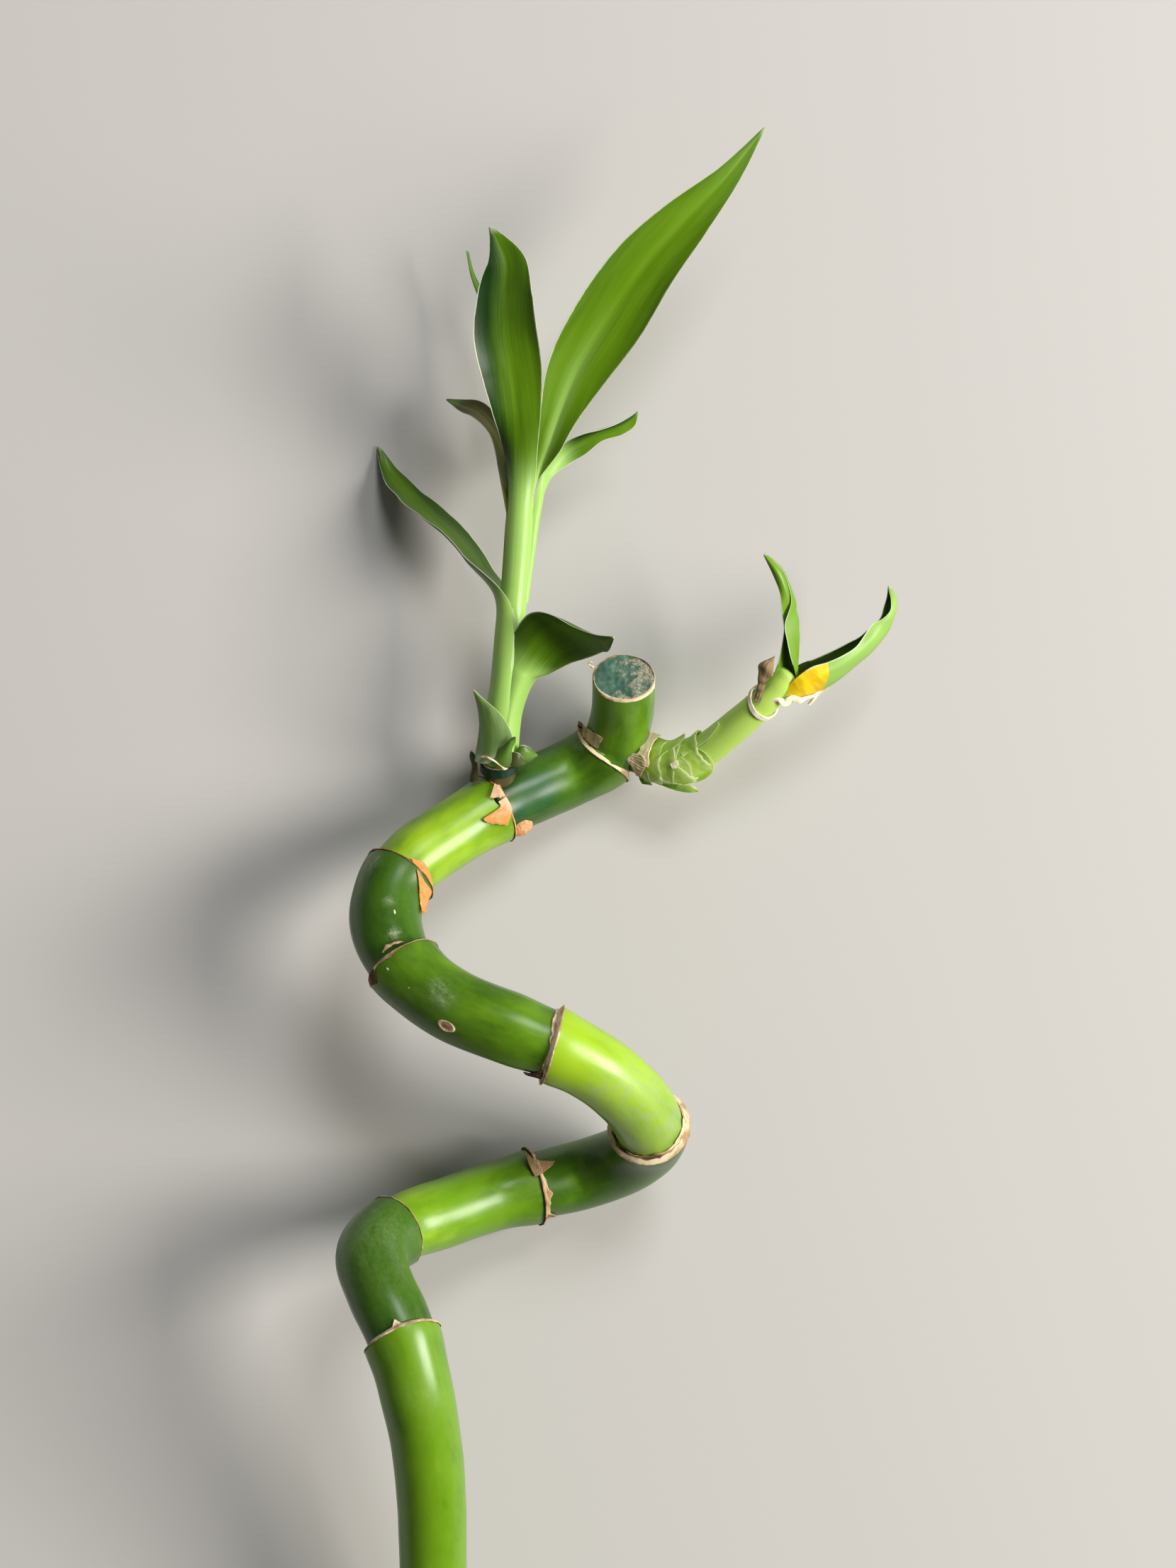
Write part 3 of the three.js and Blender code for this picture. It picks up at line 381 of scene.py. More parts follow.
# Narrow dry strips: each point of the path as above, and the width there in mm
STRIPS = {
    "torn_leaf_strip": {
        "thick": 0.16, "tone": 0.05,
        "path": [
            [1064, 996, 22.6, 0.2], [1075, 991, 23.4, 0.5], [1087, 988, 23.9, 0.45], [1098, 987, 24.2, 0.6],
            [1108, 991, 23.8, 1.3], [1118, 985, 23.8, 1.0], [1128, 988, 23.4, 1.1], [1136, 985, 23.0, 0.5],
            [1148, 981, 22.2, 0.35], [1160, 972, 21.2, 0.3], [1170, 965, 20.6, 0.35], [1164, 972, 20.3, 0.3],
            [1155, 978, 20.0, 0.35], [1148, 986, 19.8, 0.5], [1141, 994, 19.6, 0.4],
        ],
    },
    "cut_fibre": {
        "thick": 0.12, "tone": 0.35,
        "path": [
            [838, 942, 21.6, 0.2], [833, 939, 22.0, 0.25], [831, 936, 22.2, 0.2], [833, 934, 22.3, 0.15],
            [836, 936, 22.4, 0.1],
        ],
    },
    "side_sheath_line": {
        "thick": 0.12, "tone": 0.3,
        "path": [
            [1060, 996, 22.2, 0.3], [1071, 992, 23.5, 0.5], [1090, 987, 23.8, 0.4], [1098, 983, 23.4, 0.3],
        ],
    },
    "main_foot_crust": {
        "thick": 0.2, "tone": 0.3,
        "path": [
            [679, 1068, 19.4, 0.1], [684, 1068, 19.8, 0.35], [690, 1070, 20.2, 0.25], [698, 1074, 20.0, 0.1],
            [706, 1080, 19.4, 0.1], [711, 1084, 18.8, 0.35], [716, 1084, 18.2, 0.1],
        ],
    },
}

# Marks on the cane: where the photo shows them, half length, half width and height in mm, skin, tone in the
# middle and tone at the edge. The lip of a large one is this many times its height
MARK_LIP = 1.2
MARKS = {
    "cane_scar": [630, 1447, 1.6, 1.1, 0.20, "rim", 0.75, 0.15],
    "joint_eye": [703, 1127, 0.62, 1.05, 0.4, "dark", 0.0, 0.0],
    "joint_eye_spot": [706, 1124, 0.26, 0.42, 0.75, "ivory", 0.1, 0.3],
    "cane_speck_1": [548, 1367, 0.26, 0.2, 0.06, "ivory", 0.2, 0],
    "cane_speck_2": [577, 1394, 0.3, 0.2, 0.06, "ivory", 0.2, 0],
    "cane_speck_3": [617, 1400, 0.22, 0.17, 0.05, "ivory", 0.2, 0],
    "cane_speck_4": [556, 1285, 0.5, 0.18, 0.06, "ivory", 0.5, 0],
    "cane_speck_5": [754, 1436, 0.2, 0.15, 0.05, "ivory", 0.2, 0],
}
# Pale bloom above joints of the cane: which joint, how far after it, reach, strength
BLOOM = [(0, 13, 9, 0.21), (3, 9, 7, 0.4)]
# Pale smears of bloom, and dark cool patches on the cane, partly a dark mark of the skin and partly painted
# shade beneath the main shoot's bracts and a painted dark reflection: where the photo shows them, size in mm,
# strength
SMEARS = [
    [556, 1318, 0.9, 3.0], [550, 1272, 0.8, 2.0], [527, 1217, 1.2, 1.6], [900, 1550, 6.0, 1.2],
    [840, 1545, 2.5, 1.3], [950, 1585, 2.5, 1.6], [617, 1395, 1.6, 1.8], [632, 1412, 1.2, 1.6],
    [541, 1724, 5.0, 0.2], [600, 1970, 4.0, 0.3],
]
MARK_SHADE_REFLECTION_PATCHES = [[757, 1117, 3.6, 0.6], [733, 1146, 2.0, 0.5], [668, 1103, 2.2, 0.7]]

# Stem of the side shoot, set out like the cane
SIDE_STEM = [
    [1.8, 50.4, 8.8, 2.4],
    [4.8, 49.4, 9.8, 2.7],
    [8.4, 48.8, 11.4, 3.4],
    [12.3, 49, 13.2, 3.5],
    [16.2, 50.9, 15.2, 3.1],
    [21.1, 54.8, 18, 3.0],
    [26.6, 59.6, 21, 2.8],
    [29.8, 62.8, 22.4, 2.4],
    [31.4, 65, 23, 2.0],
]
# Scales that wrap the side shoot: from and to along it, the side that they point to, how much of their length
# they have on the far side, and how far the tip stands off
SIDE_SCALES = [
    {"from": 4.4, "to": 9.5, "side": [0, 1, 0.25], "low": 0.8, "tip_lift": 0.35},
    {"from": 7.8, "to": 13.6, "side": [0.3, -1, 0.1], "low": 0.75, "tip_lift": 0.35},
    {"from": 12.0, "to": 18.0, "side": [-0.4, 1, 0.3], "low": 0.8, "tip_lift": 0.4},
]
SCALE_HALF = math.radians(168)
SCALE_LIFT = 0.1

# Rings round the shoots: from and to along the stem, thickness, tone, how uneven the edge is, and slant
MAIN_COLLARS = {
    "main_foot_collar": {
        "from": 2.4, "to": 3.9, "thick": 0.5, "warm": 0.3, "ragged": 0.1, "seed": 3,
        "skin": "dark", "slot": "sheath", "nodes": ["main_collar"],
    },
    "main_collar_edge": {
        "from": 3.85, "to": 4.2, "thick": 0.15, "warm": 0.35, "ragged": 0.18, "seed": 4,
        "skin": "ivory", "slot": "sheath", "nodes": [],
    },
}
SIDE_COLLARS = {
    "side_foot_collar": {
        "from": 3.4, "to": 5.2, "thick": 0.3, "warm": 0.2, "ragged": 0.4, "seed": 5,
        "skin": "scrap", "slot": "sheath", "nodes": ["side_collar"],
    },
    "side_ivory_ring": {
        "from": 31.4, "to": 32.2, "thick": 0.35, "warm": -0.1, "ragged": 0.1, "seed": 7, "skew": -1.7,
        "skin": "ivory", "slot": "rim", "nodes": ["side_ring"],
    },
}
# How a shoot is rounded off: the width left and how far out, ring by ring
SHOOT_TIP = [(0.9, 0.4), (0.55, 0.75), (0.15, 0.85)]

# What the small scales laid over the side shoot have in common
SMALL_SCALE = {"at": ("side", 0), "skin": "shoot"}
# Scraps and scales laid over a stem. lines are [photo x, photo y] points across them, the last line at the
# free edge. at is the stem, and on the cane the joint; lift is how far they stand off it at their first and
# last line; margin is how wide their dry edge is, and fade how much their tone rises towards it
LAID = {
    "orange_scrap": {
        "at": ("cane", 6), "lift": (0.35, 0.45), "skin": "scrap", "tone": 0.5, "rough": 0.06,
        "lines": [
            [(580, 1211), (598, 1216)], [(587, 1226), (606, 1232)], [(590, 1240), (610, 1247)],
            [(591, 1253), (609, 1259)], [(592, 1265), (604, 1269)], [(595, 1288), (600, 1290)],
        ],
    },
    "joint_scrap_upper": {
        "at": ("cane", 7), "lift": (0.4, 0.6), "skin": "scrap", "tone": 0.15, "rough": 0.06,
        "lines": [
            [(690, 1087), (692, 1089)], [(697, 1098), (701, 1099)], [(697, 1107), (706, 1109)],
            [(694, 1117), (711, 1120)], [(691, 1127), (714, 1124)],
        ],
    },
    "joint_scrap_lower": {
        "at": ("cane", 7), "nodes": ["dry_scrap"], "lift": (0.4, 0.6), "skin": "scrap", "tone": 0.0,
        "fade": 0.55, "rough": 0.06,
        "lines": [
            [(703, 1131), (714, 1124)], [(706, 1138), (721, 1137)], [(696, 1146), (722, 1145)],
            [(682, 1156), (719, 1155)], [(690, 1162), (716, 1165)],
        ],
    },
    "bend_flap": {
        "at": ("cane", 8), "lift": (0.45, 0.7), "skin": "rim", "tone": 0.28, "rough": 0.05,
        "lines": [
            [(815, 1027), (816, 1017)], [(821, 1036), (825, 1024)], [(828, 1045), (833, 1031)],
            [(836, 1052), (843, 1037)], [(843, 1056), (851, 1041)],
        ],
    },
    "triangle_scrap": {
        "at": ("cane", 2), "lift": (0.4, 0.6), "skin": "rim", "tone": 0.55, "rough": 0.08,
        "lines": [
            [(741, 1624), (745, 1640), (755, 1660)], [(755, 1636), (760, 1645), (765, 1655)],
            [(783, 1638), (782, 1640), (781, 1642)],
        ],
    },
    "cream_patch": {
        "at": ("cane", 5), "lift": (0.2, 0.4), "skin": "rim", "tone": 0.25, "rough": 0.10,
        "lines": [
            [(539, 1345), (544, 1333)], [(546, 1338), (552, 1331)], [(555, 1332), (561, 1328)],
            [(565, 1330), (570, 1328)],
        ],
    },
    "dark_flap": {
        "at": ("cane", 4), "lift": (0.2, 0.4), "skin": "rim", "tone": 1.0, "rough": 0.08,
        "lines": [[(766, 1513), (772, 1524)], [(748, 1514), (750, 1519)], [(738, 1512), (739, 1514)]],
    },
    "side_papery_patch": {
        "at": ("side", 0), "lift": (1.3, 1.5), "skin": "paper", "tone": -0.4, "rough": 0.05,
        "lines": [
            [(907, 1032), (919, 1033), (932, 1037)], [(905, 1045), (914, 1045), (922, 1046)],
            [(903, 1058), (909, 1057), (917, 1057)], [(900, 1064), (909, 1066), (915, 1067)],
            [(906, 1073), (911, 1074), (916, 1076)], [(910, 1081), (912, 1082), (914, 1083)],
        ],
    },
    "side_fibrous_scrap": {
        "at": ("side", 0), "nodes": ["side_husk"], "lift": (1.5, 1.8), "skin": "rim", "tone": -0.1,
        "rough": 0.10, "folds": 0.16, "columns": 90,
        "lines": [
            [(881, 1066), (881, 1069)], [(891, 1063), (890, 1071), (889, 1079)],
            [(900, 1064), (899, 1076), (896, 1088)], [(906, 1066), (906, 1080), (902, 1095)],
            [(911, 1073), (911, 1082), (905, 1090)],
        ],
    },
    "side_scale_overlay_6": {
        **SMALL_SCALE, "lift": (0.3, 0.6), "tone": -0.1, "margin": 0.14,
        "lines": [[(902, 1088), (902, 1098), (906, 1106)], [(914, 1089), (916, 1098), (921, 1108)]],
    },
    "side_scale_overlay_1": {
        **SMALL_SCALE, "lift": (0.45, 0.7), "tone": 0.6, "fade": 0.2, "pale": 0.25, "margin": 0.22,
        "lines": [
            [(921, 1036), (920, 1048), (915, 1062), (912, 1078), (908, 1092), (909, 1103)],
            [(945, 1045), (943, 1052), (934, 1062), (922, 1072), (918, 1086), (920, 1103)],
            [(967, 1034), (966, 1042), (958, 1050), (944, 1058), (932, 1068), (930, 1080), (933, 1090),
             (931, 1100)],
        ],
    },
    "side_scale_overlay_2": {
        **SMALL_SCALE, "lift": (0.25, 0.55), "tone": 0.35, "fade": 0.35, "pale": 0.1, "margin": 0.14,
        "lines": [
            [(938, 1058), (932, 1072), (930, 1085), (928, 1098), (932, 1106)],
            [(948, 1057), (943, 1068), (941, 1082), (941, 1095), (944, 1106)],
            [(960, 1050), (956, 1062), (953, 1074), (951, 1092), (950, 1106)],
        ],
    },
    "side_scale_overlay_3": {
        **SMALL_SCALE, "lift": (0.35, 0.6), "tone": 0.5, "fade": 0.4, "pale": 0.3, "margin": 0.3,
        "lines": [
            [(951, 1066), (953, 1078), (951, 1092), (949, 1106)],
            [(957, 1066), (966, 1078), (968, 1092), (966, 1106)],
            [(956, 1064), (962, 1070), (972, 1076), (977, 1087), (978, 1097), (983, 1104), (990, 1101)],
        ],
    },
    "side_scale_overlay_7": {
        **SMALL_SCALE, "lift": (0.2, 0.6), "tone": 0.9, "pale": 0.1, "margin": 0.3,
        "lines": [
            [(968, 1062), (975, 1076), (980, 1090), (984, 1103)],
            [(982, 1056), (990, 1068), (995, 1082), (994, 1099)],
            [(995, 1062), (1003, 1070), (1009, 1080), (1006, 1090)],
        ],
    },
    "side_scale_overlay_4": {
        **SMALL_SCALE, "lift": (0.3, 0.6), "tone": 0.7, "pale": 0.5, "margin": 0.18,
        "lines": [
            [(962, 1052), (972, 1051), (986, 1046), (998, 1036), (1006, 1026), (1013, 1018)],
            [(960, 1058), (971, 1057), (986, 1050), (998, 1040), (1007, 1030), (1014, 1020)],
            [(962, 1068), (974, 1061), (988, 1051), (1000, 1042), (1009, 1031), (1015, 1022)],
        ],
    },
    "side_scale_overlay_5": {
        **SMALL_SCALE, "lift": (0.3, 0.5), "tone": 0.3, "pale": 0.1, "thick": 0.3, "margin": 0.2,
        "lines": [
            [(925, 1104), (945, 1112), (958, 1116), (972, 1118), (986, 1117)],
            [(928, 1102), (947, 1108), (961, 1111), (973, 1113), (986, 1116)],
            [(932, 1100), (949, 1104), (964, 1106), (976, 1108), (987, 1115)],
        ],
    },
    "side_scale_scrap": {
        "at": ("side", 0), "lift": (1.0, 1.1), "skin": "ivory", "tone": -0.2, "thick": 0.15, "rough": 0.06,
        "lines": [[(956, 1072), (958, 1080)], [(950, 1075), (953, 1084)], [(945, 1078), (948, 1084)]],
    },
}

# How far before and after its joint, or the foot of its shoot, a laid piece may lie
LAID_BEFORE = 15
LAID_AFTER = 26

# Thickness of leaves, of the scales round the side shoot, of laid pieces unless they say, and of the cut edge
LEAF_THICK = 0.40
SCALE_THICK = 0.36
LAID_THICK = 0.2
CUT_EDGE_THICK = 0.12

# How finely curves, the cane, the shoots and the leaves are divided, and how far bends are rounded off
LINE_STEP = 0.25
ROUNDING = 2.0
CANE_SIDES = 72
SHOOT_SIDES = 48
RING_SPACING = 0.7
LEAF_ROWS = 110
LEAF_COLUMNS = 25
FOLDED_COLUMNS = 49

# The radii that the flow round the cane and round the shoots is measured on
CANE_FLOW = 6
SHOOT_FLOW = 2.5

# The height that a leaf and a rim keep above the floor
LEAF_CLEAR = 0.25
RIM_CLEAR = 0.05

# What the attribute yellow says where a skin has no yellow patch
NO_YELLOW = -1.0


# Numbers and noise

def smooth(value):
    """0 below 0, 1 above 1, and a soft step between."""
    t = np.clip(value, 0, 1)
    return t * t * (3 - 2 * t)


def bell(value):
    """1 at 0, falling to 0 on both sides."""
    return np.exp(-value ** 2)


def unit(vectors):
    return vectors / np.maximum(np.linalg.norm(vectors, axis=-1, keepdims=True), 1e-9)


def shares(count):
    """Even shares from 0 to 1, one to a row."""
    return np.linspace(0, 1, count)[:, None]


def turns(count):
    """Even angles once round."""
    return np.linspace(0, 2 * math.pi, count, endpoint=False)


def turn_from(angle, middle):
    return np.abs(np.arctan2(np.sin(angle - middle), np.cos(angle - middle)))


def towards(side, up, angle):
    """The direction at an angle from side towards up."""
    return side * np.cos(angle)[..., None] + up * np.sin(angle)[..., None]


def seed_of(name):
    return sum(ord(letter) for letter in name)


def wobble(x, seed, octaves=5):
    """Repeatable smooth noise along x, between about -1 and 1; one main wave is about 6 long."""
    rng = np.random.default_rng(seed)
    total = 0
    for octave in range(octaves):
        pace = 1.7 ** octave * rng.uniform(0.8, 1.25)
        total = total + 0.62 ** octave * np.sin(pace * x + rng.uniform(0, 2 * math.pi))
    return total / 1.7


def ring_wobble(angle, seed, lowest, octaves):
    """The same round a ring, where it has to meet itself; lowest is the count of its main waves."""
    rng = np.random.default_rng(seed)
    total = 0
    for octave in range(octaves):
        count = lowest + int(octave * octave * 0.7) + rng.integers(0, 3)
        total = total + 0.78 ** octave * np.sin(count * angle + rng.uniform(0, 2 * math.pi))
    return total / 2.2


def cloud(points, size, seed):
    """Smooth noise in space, between about -1 and 1, whose lumps are about size across."""
    rng = np.random.default_rng(seed)
    total = np.zeros(points.shape[:-1])
    waves = 14
    for _ in range(waves):
        direction = rng.normal(size=3)
        direction *= rng.uniform(0.6, 1.5) * math.pi / size / np.linalg.norm(direction)
        total += np.sin(points @ direction + rng.uniform(0, 2 * math.pi))
    return total / math.sqrt(waves)


# Curves

def catmull(points, per_span=60):
    """A centripetal Catmull-Rom curve through points, as in the part's source, and where each falls on it."""
    p = np.asarray(points, float)
    p = np.vstack([2 * p[0] - p[1], p, 2 * p[-1] - p[-2]])
    out = []
    for i in range(1, len(p) - 2):
        d = [max(math.sqrt(np.linalg.norm(p[i + k] - p[i + k - 1])), 1e-3) for k in (0, 1, 2)]
        a = (p[i] - p[i - 1]) / d[0] - (p[i + 1] - p[i - 1]) / (d[0] + d[1]) + (p[i + 1] - p[i]) / d[1]
        b = (p[i + 1] - p[i]) / d[1] - (p[i + 2] - p[i]) / (d[1] + d[2]) + (p[i + 2] - p[i + 1]) / d[2]
        a, b = a * d[1], b * d[1]
        t = np.linspace(0, 1, per_span, endpoint=False)[:, None]
        x0, x1 = p[i], p[i + 1]
        out.append(x0 + a * t + (-3 * x0 + 3 * x1 - 2 * a - b) * t ** 2 + (2 * x0 - 2 * x1 + a + b) * t ** 3)
    out.append(p[-2:-1])
    return np.vstack(out), np.arange(len(points)) * per_span


def sampled(table, at, where):
    """The rows of a table that stand at these places, read off at other places."""
    return np.stack([np.interp(where, at, column) for column in table.T], -1)


def along_line(points):
    """The distance along a line at each of its points."""
    return np.concatenate([[0], np.cumsum(np.linalg.norm(np.diff(points, axis=0), axis=1))])


def rounded(values):
    """One coordinate at even steps along a curve, with the sharpest bends rounded off and the ends kept."""
    reach = int(3 * ROUNDING / LINE_STEP)
    weight = np.exp(-((np.arange(-reach, reach + 1) * LINE_STEP / ROUNDING) ** 2) / 2)
    before = 2 * values[0] - values[reach:0:-1]
    after = 2 * values[-1] - values[-2:-reach - 2:-1]
    return np.convolve(np.concatenate([before, values, after]), weight / weight.sum(), "valid")


def seen(points):
    """Photo points [photo x, photo y, height] in the part's millimetres; anything after those is kept."""
    points = np.asarray(points, float)
    pixel = (CAMERA[2] - points[..., 2:3]) / FOCAL
    flat = CAMERA[:2] + (points[..., :2] - PHOTO_CENTRE) * [1, -1] * pixel
    return np.concatenate([flat, points[..., 2:]], -1)


def in_photo(points):
    """Where points in millimetres are seen in the photo."""
    pixel = (CAMERA[2] - points[..., 2:3]) / FOCAL
    return PHOTO_CENTRE + (points[..., :2] - CAMERA[:2]) * [1, -1] / pixel


class Stem:
    """A round stem along a curve, with a frame that runs along it without twisting."""

    def __init__(self, knots, joint_knots=()):
        curve, at = catmull([k[:3] for k in knots])
        gone = along_line(curve)
        even = np.linspace(0, gone[-1], int(gone[-1] / LINE_STEP) + 1)
        self.line = np.stack([rounded(column) for column in sampled(curve, gone, even).T], -1)
        self.s = along_line(self.line)
        self.length = self.s[-1]
        self.tangent = unit(np.gradient(self.line, self.s, axis=0))
        self.normal = np.zeros_like(self.line)
        start = np.array([1.0, 0, 0]) if abs(self.tangent[0][0]) < 0.6 else np.array([0, 0, 1.0])
        for i, tangent in enumerate(self.tangent):
            start = unit(start - tangent * (start @ tangent))
            self.normal[i] = start
        self.knot_s = np.interp(gone[at], even, self.s)
        self.knot_r = np.array([k[3] for k in knots])
        self.joints = [self.knot_s[i] - RIM_AT for i in joint_knots]
        self.skews = []

    def radius(self, s):
        s = np.asarray(s, float)
        i = np.clip(np.searchsorted(self.knot_s, s, side="right") - 1, 0, len(self.knot_s) - 2)
        share = smooth((s - self.knot_s[i]) / (self.knot_s[i + 1] - self.knot_s[i]))
        radius = self.knot_r[i] + (self.knot_r[i + 1] - self.knot_r[i]) * share
        for joint in self.joints:
            d = s - joint
            lip = LIP * bell(np.minimum(d, 0) / LIP_LENGTH)
            step = LIP - (LIP + WAIST) * smooth(d / STEP_LENGTH)
            waist = -WAIST * bell(np.maximum(d - STEP_LENGTH, 0) / WAIST_LENGTH)
            radius = radius + np.where(d <= 0, lip, np.where(d < STEP_LENGTH, step, waist))
        return radius

    def place(self, s):
        """The point on the axis at distance s, and the directions along the stem, sideways and up there."""
        s = np.asarray(s, float)
        inside = np.clip(s, 0, self.length)
        frame_at = [sampled(table, self.s, inside) for table in (self.line, self.tangent, self.normal)]
        point, tangent, side = frame_at
        tangent = unit(tangent)
        side = unit(side - tangent * np.sum(side * tangent, -1, keepdims=True))
        return point + tangent * (s - inside)[..., None], tangent, side, np.cross(tangent, side)

    def facing(self, s, direction):
        """The angle round the stem at distance s that looks in a direction."""
        _, _, side, up = self.place(s)
        aim = np.asarray(direction, float)
        return math.atan2(float(up @ aim), float(side @ aim))

    def skew(self, s, angle):
        """How far a slanting joint moves its lip along the stem, at each place round it."""
        total = np.zeros(np.broadcast(s, angle).shape)
        for joint, side, amount, whole in self.skews:
            near = np.exp(-((s - joint) / SKEW_REACH) ** 4)
            total = total + (whole + amount * np.cos(angle - side)) * near
        return total

    def surface(self, s, angle, lift):
        """Points on the stem's surface at distances s and angles round it, raised by lift."""
        s, angle, lift = np.broadcast_arrays(np.asarray(s, float), angle, lift)
        point, _, side, up = self.place(s)
        return point + (self.radius(s - self.skew(s, angle)) + lift)[..., None] * towards(side, up, angle)


# Meshes

def grid_faces(rows, columns, closed=False, first=0):
    r, c = np.meshgrid(np.arange(rows - 1), np.arange(columns if closed else columns - 1), indexing="ij")
    n = (c + 1) % columns
    quads = np.stack([r * columns + c, r * columns + n, (r + 1) * columns + n, (r + 1) * columns + c], -1)
    return (quads.reshape(-1, 4) + first).tolist()


def outward(points, faces):
    """The faces, turned so that they look out of the closed mesh."""
    corners = np.array([(f[0], f[k], f[k + 1]) for f in faces for k in range(1, len(f) - 1)])
    a, b, c = (points[corners[:, k]] for k in range(3))
    volume = np.sum(a * np.cross(b, c))
    return faces if volume > 0 else [face[::-1] for face in faces]


def new_object(name, data):
    made = bpy.data.objects.new(name, data)
    bpy.context.scene.collection.objects.link(made)
    return made


def piece(name, skin, nodes, points, faces, values):
    """A mesh object on the part's body, which stands for these CAD nodes. values are its named attributes."""
    mesh = bpy.data.meshes.new(name)
    mesh.from_pydata((points * MM).tolist(), [], outward(points, faces))
    for key, value in values.items():
        kind, field = ("FLOAT_VECTOR", "vector") if value.ndim > 1 else ("FLOAT", "value")
        layer = mesh.attributes.new(key, kind, "POINT")
        layer.data.foreach_set(field, np.ascontiguousarray(value, np.float32).ravel())
    mesh.materials.append(SKINS[skin])
    mesh.shade_smooth()
    mesh.set_sharp_from_angle(angle=math.radians(SHARP_ANGLE))
    mesh.update()
    made = new_object(name, mesh)
    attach(made, "root")
    if nodes:
        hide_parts(*nodes)


def over(shape, values, arrange):
    """Named values spread over a grid of this shape, and arranged like the points of its mesh."""
    spread = {key: np.broadcast_to(value, shape + np.shape(value)[2:]) for key, value in values.items()}
    return {key: arrange(value) for key, value in spread.items()}


def normals_of(grid, closed):
    sideways = np.roll(grid, -1, 1) - np.roll(grid, 1, 1) if closed else np.gradient(grid, axis=1)
    return unit(np.cross(sideways, np.gradient(grid, axis=0)))


def crumpled(grid, depth, *waves):
    """A surface with uneven waves in it, each kind given by its share of the depth, its size and its seed."""
    bumps = sum(share * cloud(grid, size, seed) for share, size, seed in waves)
    return grid + depth * normals_of(grid, False) * bumps[..., None]


def shell_faces(rows, columns, closed):
    """Faces of two grids over each other, the second right after the first, joined at their edges."""
    count = rows * columns
    faces = grid_faces(rows, columns, closed)
    faces += [face[::-1] for face in grid_faces(rows, columns, closed, count)]
    for c in range(columns if closed else columns - 1):
        n = (c + 1) % columns
        faces.append([n, c, count + c, count + n])
        a, b = (rows - 1) * columns + c, (rows - 1) * columns + n
        faces.append([a, b, count + b, count + a])
    if not closed:
        for r in range(rows - 1):
            a, b = r * columns, (r + 1) * columns
            faces.append([a, b, count + b, count + a])
            a, b = a + columns - 1, b + columns - 1
            faces.append([b, a, count + a, count + b])
    return faces


def twice(grid):
    flat = grid.reshape(-1, *grid.shape[2:])
    return np.concatenate([flat, flat])


def sheet_piece(name, skin, slot, nodes, middle, thick, closed=False, lowest=-math.inf, **values):
    """A thin piece round a middle surface; thick may vary over it, and nothing of it is below lowest."""
    rows, columns = middle.shape[:2]
    half = (np.broadcast_to(thick, (rows, columns)) / 2)[..., None] * normals_of(middle, closed)
    points = np.concatenate([(middle + half).reshape(-1, 3), (middle - half).reshape(-1, 3)])
    points[:, 2] = np.maximum(points[:, 2], lowest)
    faces = shell_faces(rows, columns, closed)
    piece(name, skin, nodes, points, faces, over((rows, columns), values, twice))


def with_ends(grid):
    """The points or values of rings in turn, then their mean at each end."""
    return np.concatenate([grid.reshape(-1, *grid.shape[2:]), [grid[0].mean(0)], [grid[-1].mean(0)]])


def capped_piece(name, skin, slot, nodes, rings, **values):
    """A full piece inside rings in turn, closed by a point at each end."""
    rows, columns = rings.shape[:2]
    faces = grid_faces(rows, columns, True)
    start, end = rows * columns, rows * columns + 1
    for c in range(columns):
        n = (c + 1) % columns
        faces.append([start, n, c])
        faces.append([end, (rows - 1) * columns + c, (rows - 1) * columns + n])
    piece(name, skin, nodes, with_ends(rings), faces, over((rows, columns), values, with_ends))


def flow_of(*parts):
    """A piece's own coordinates, which its material is drawn on: along it, and two across it."""
    return np.stack(np.broadcast_arrays(*parts), -1)


def flow_round(s, angle, radius):
    return flow_of(s, radius * np.cos(angle), radius * np.sin(angle))


# Materials

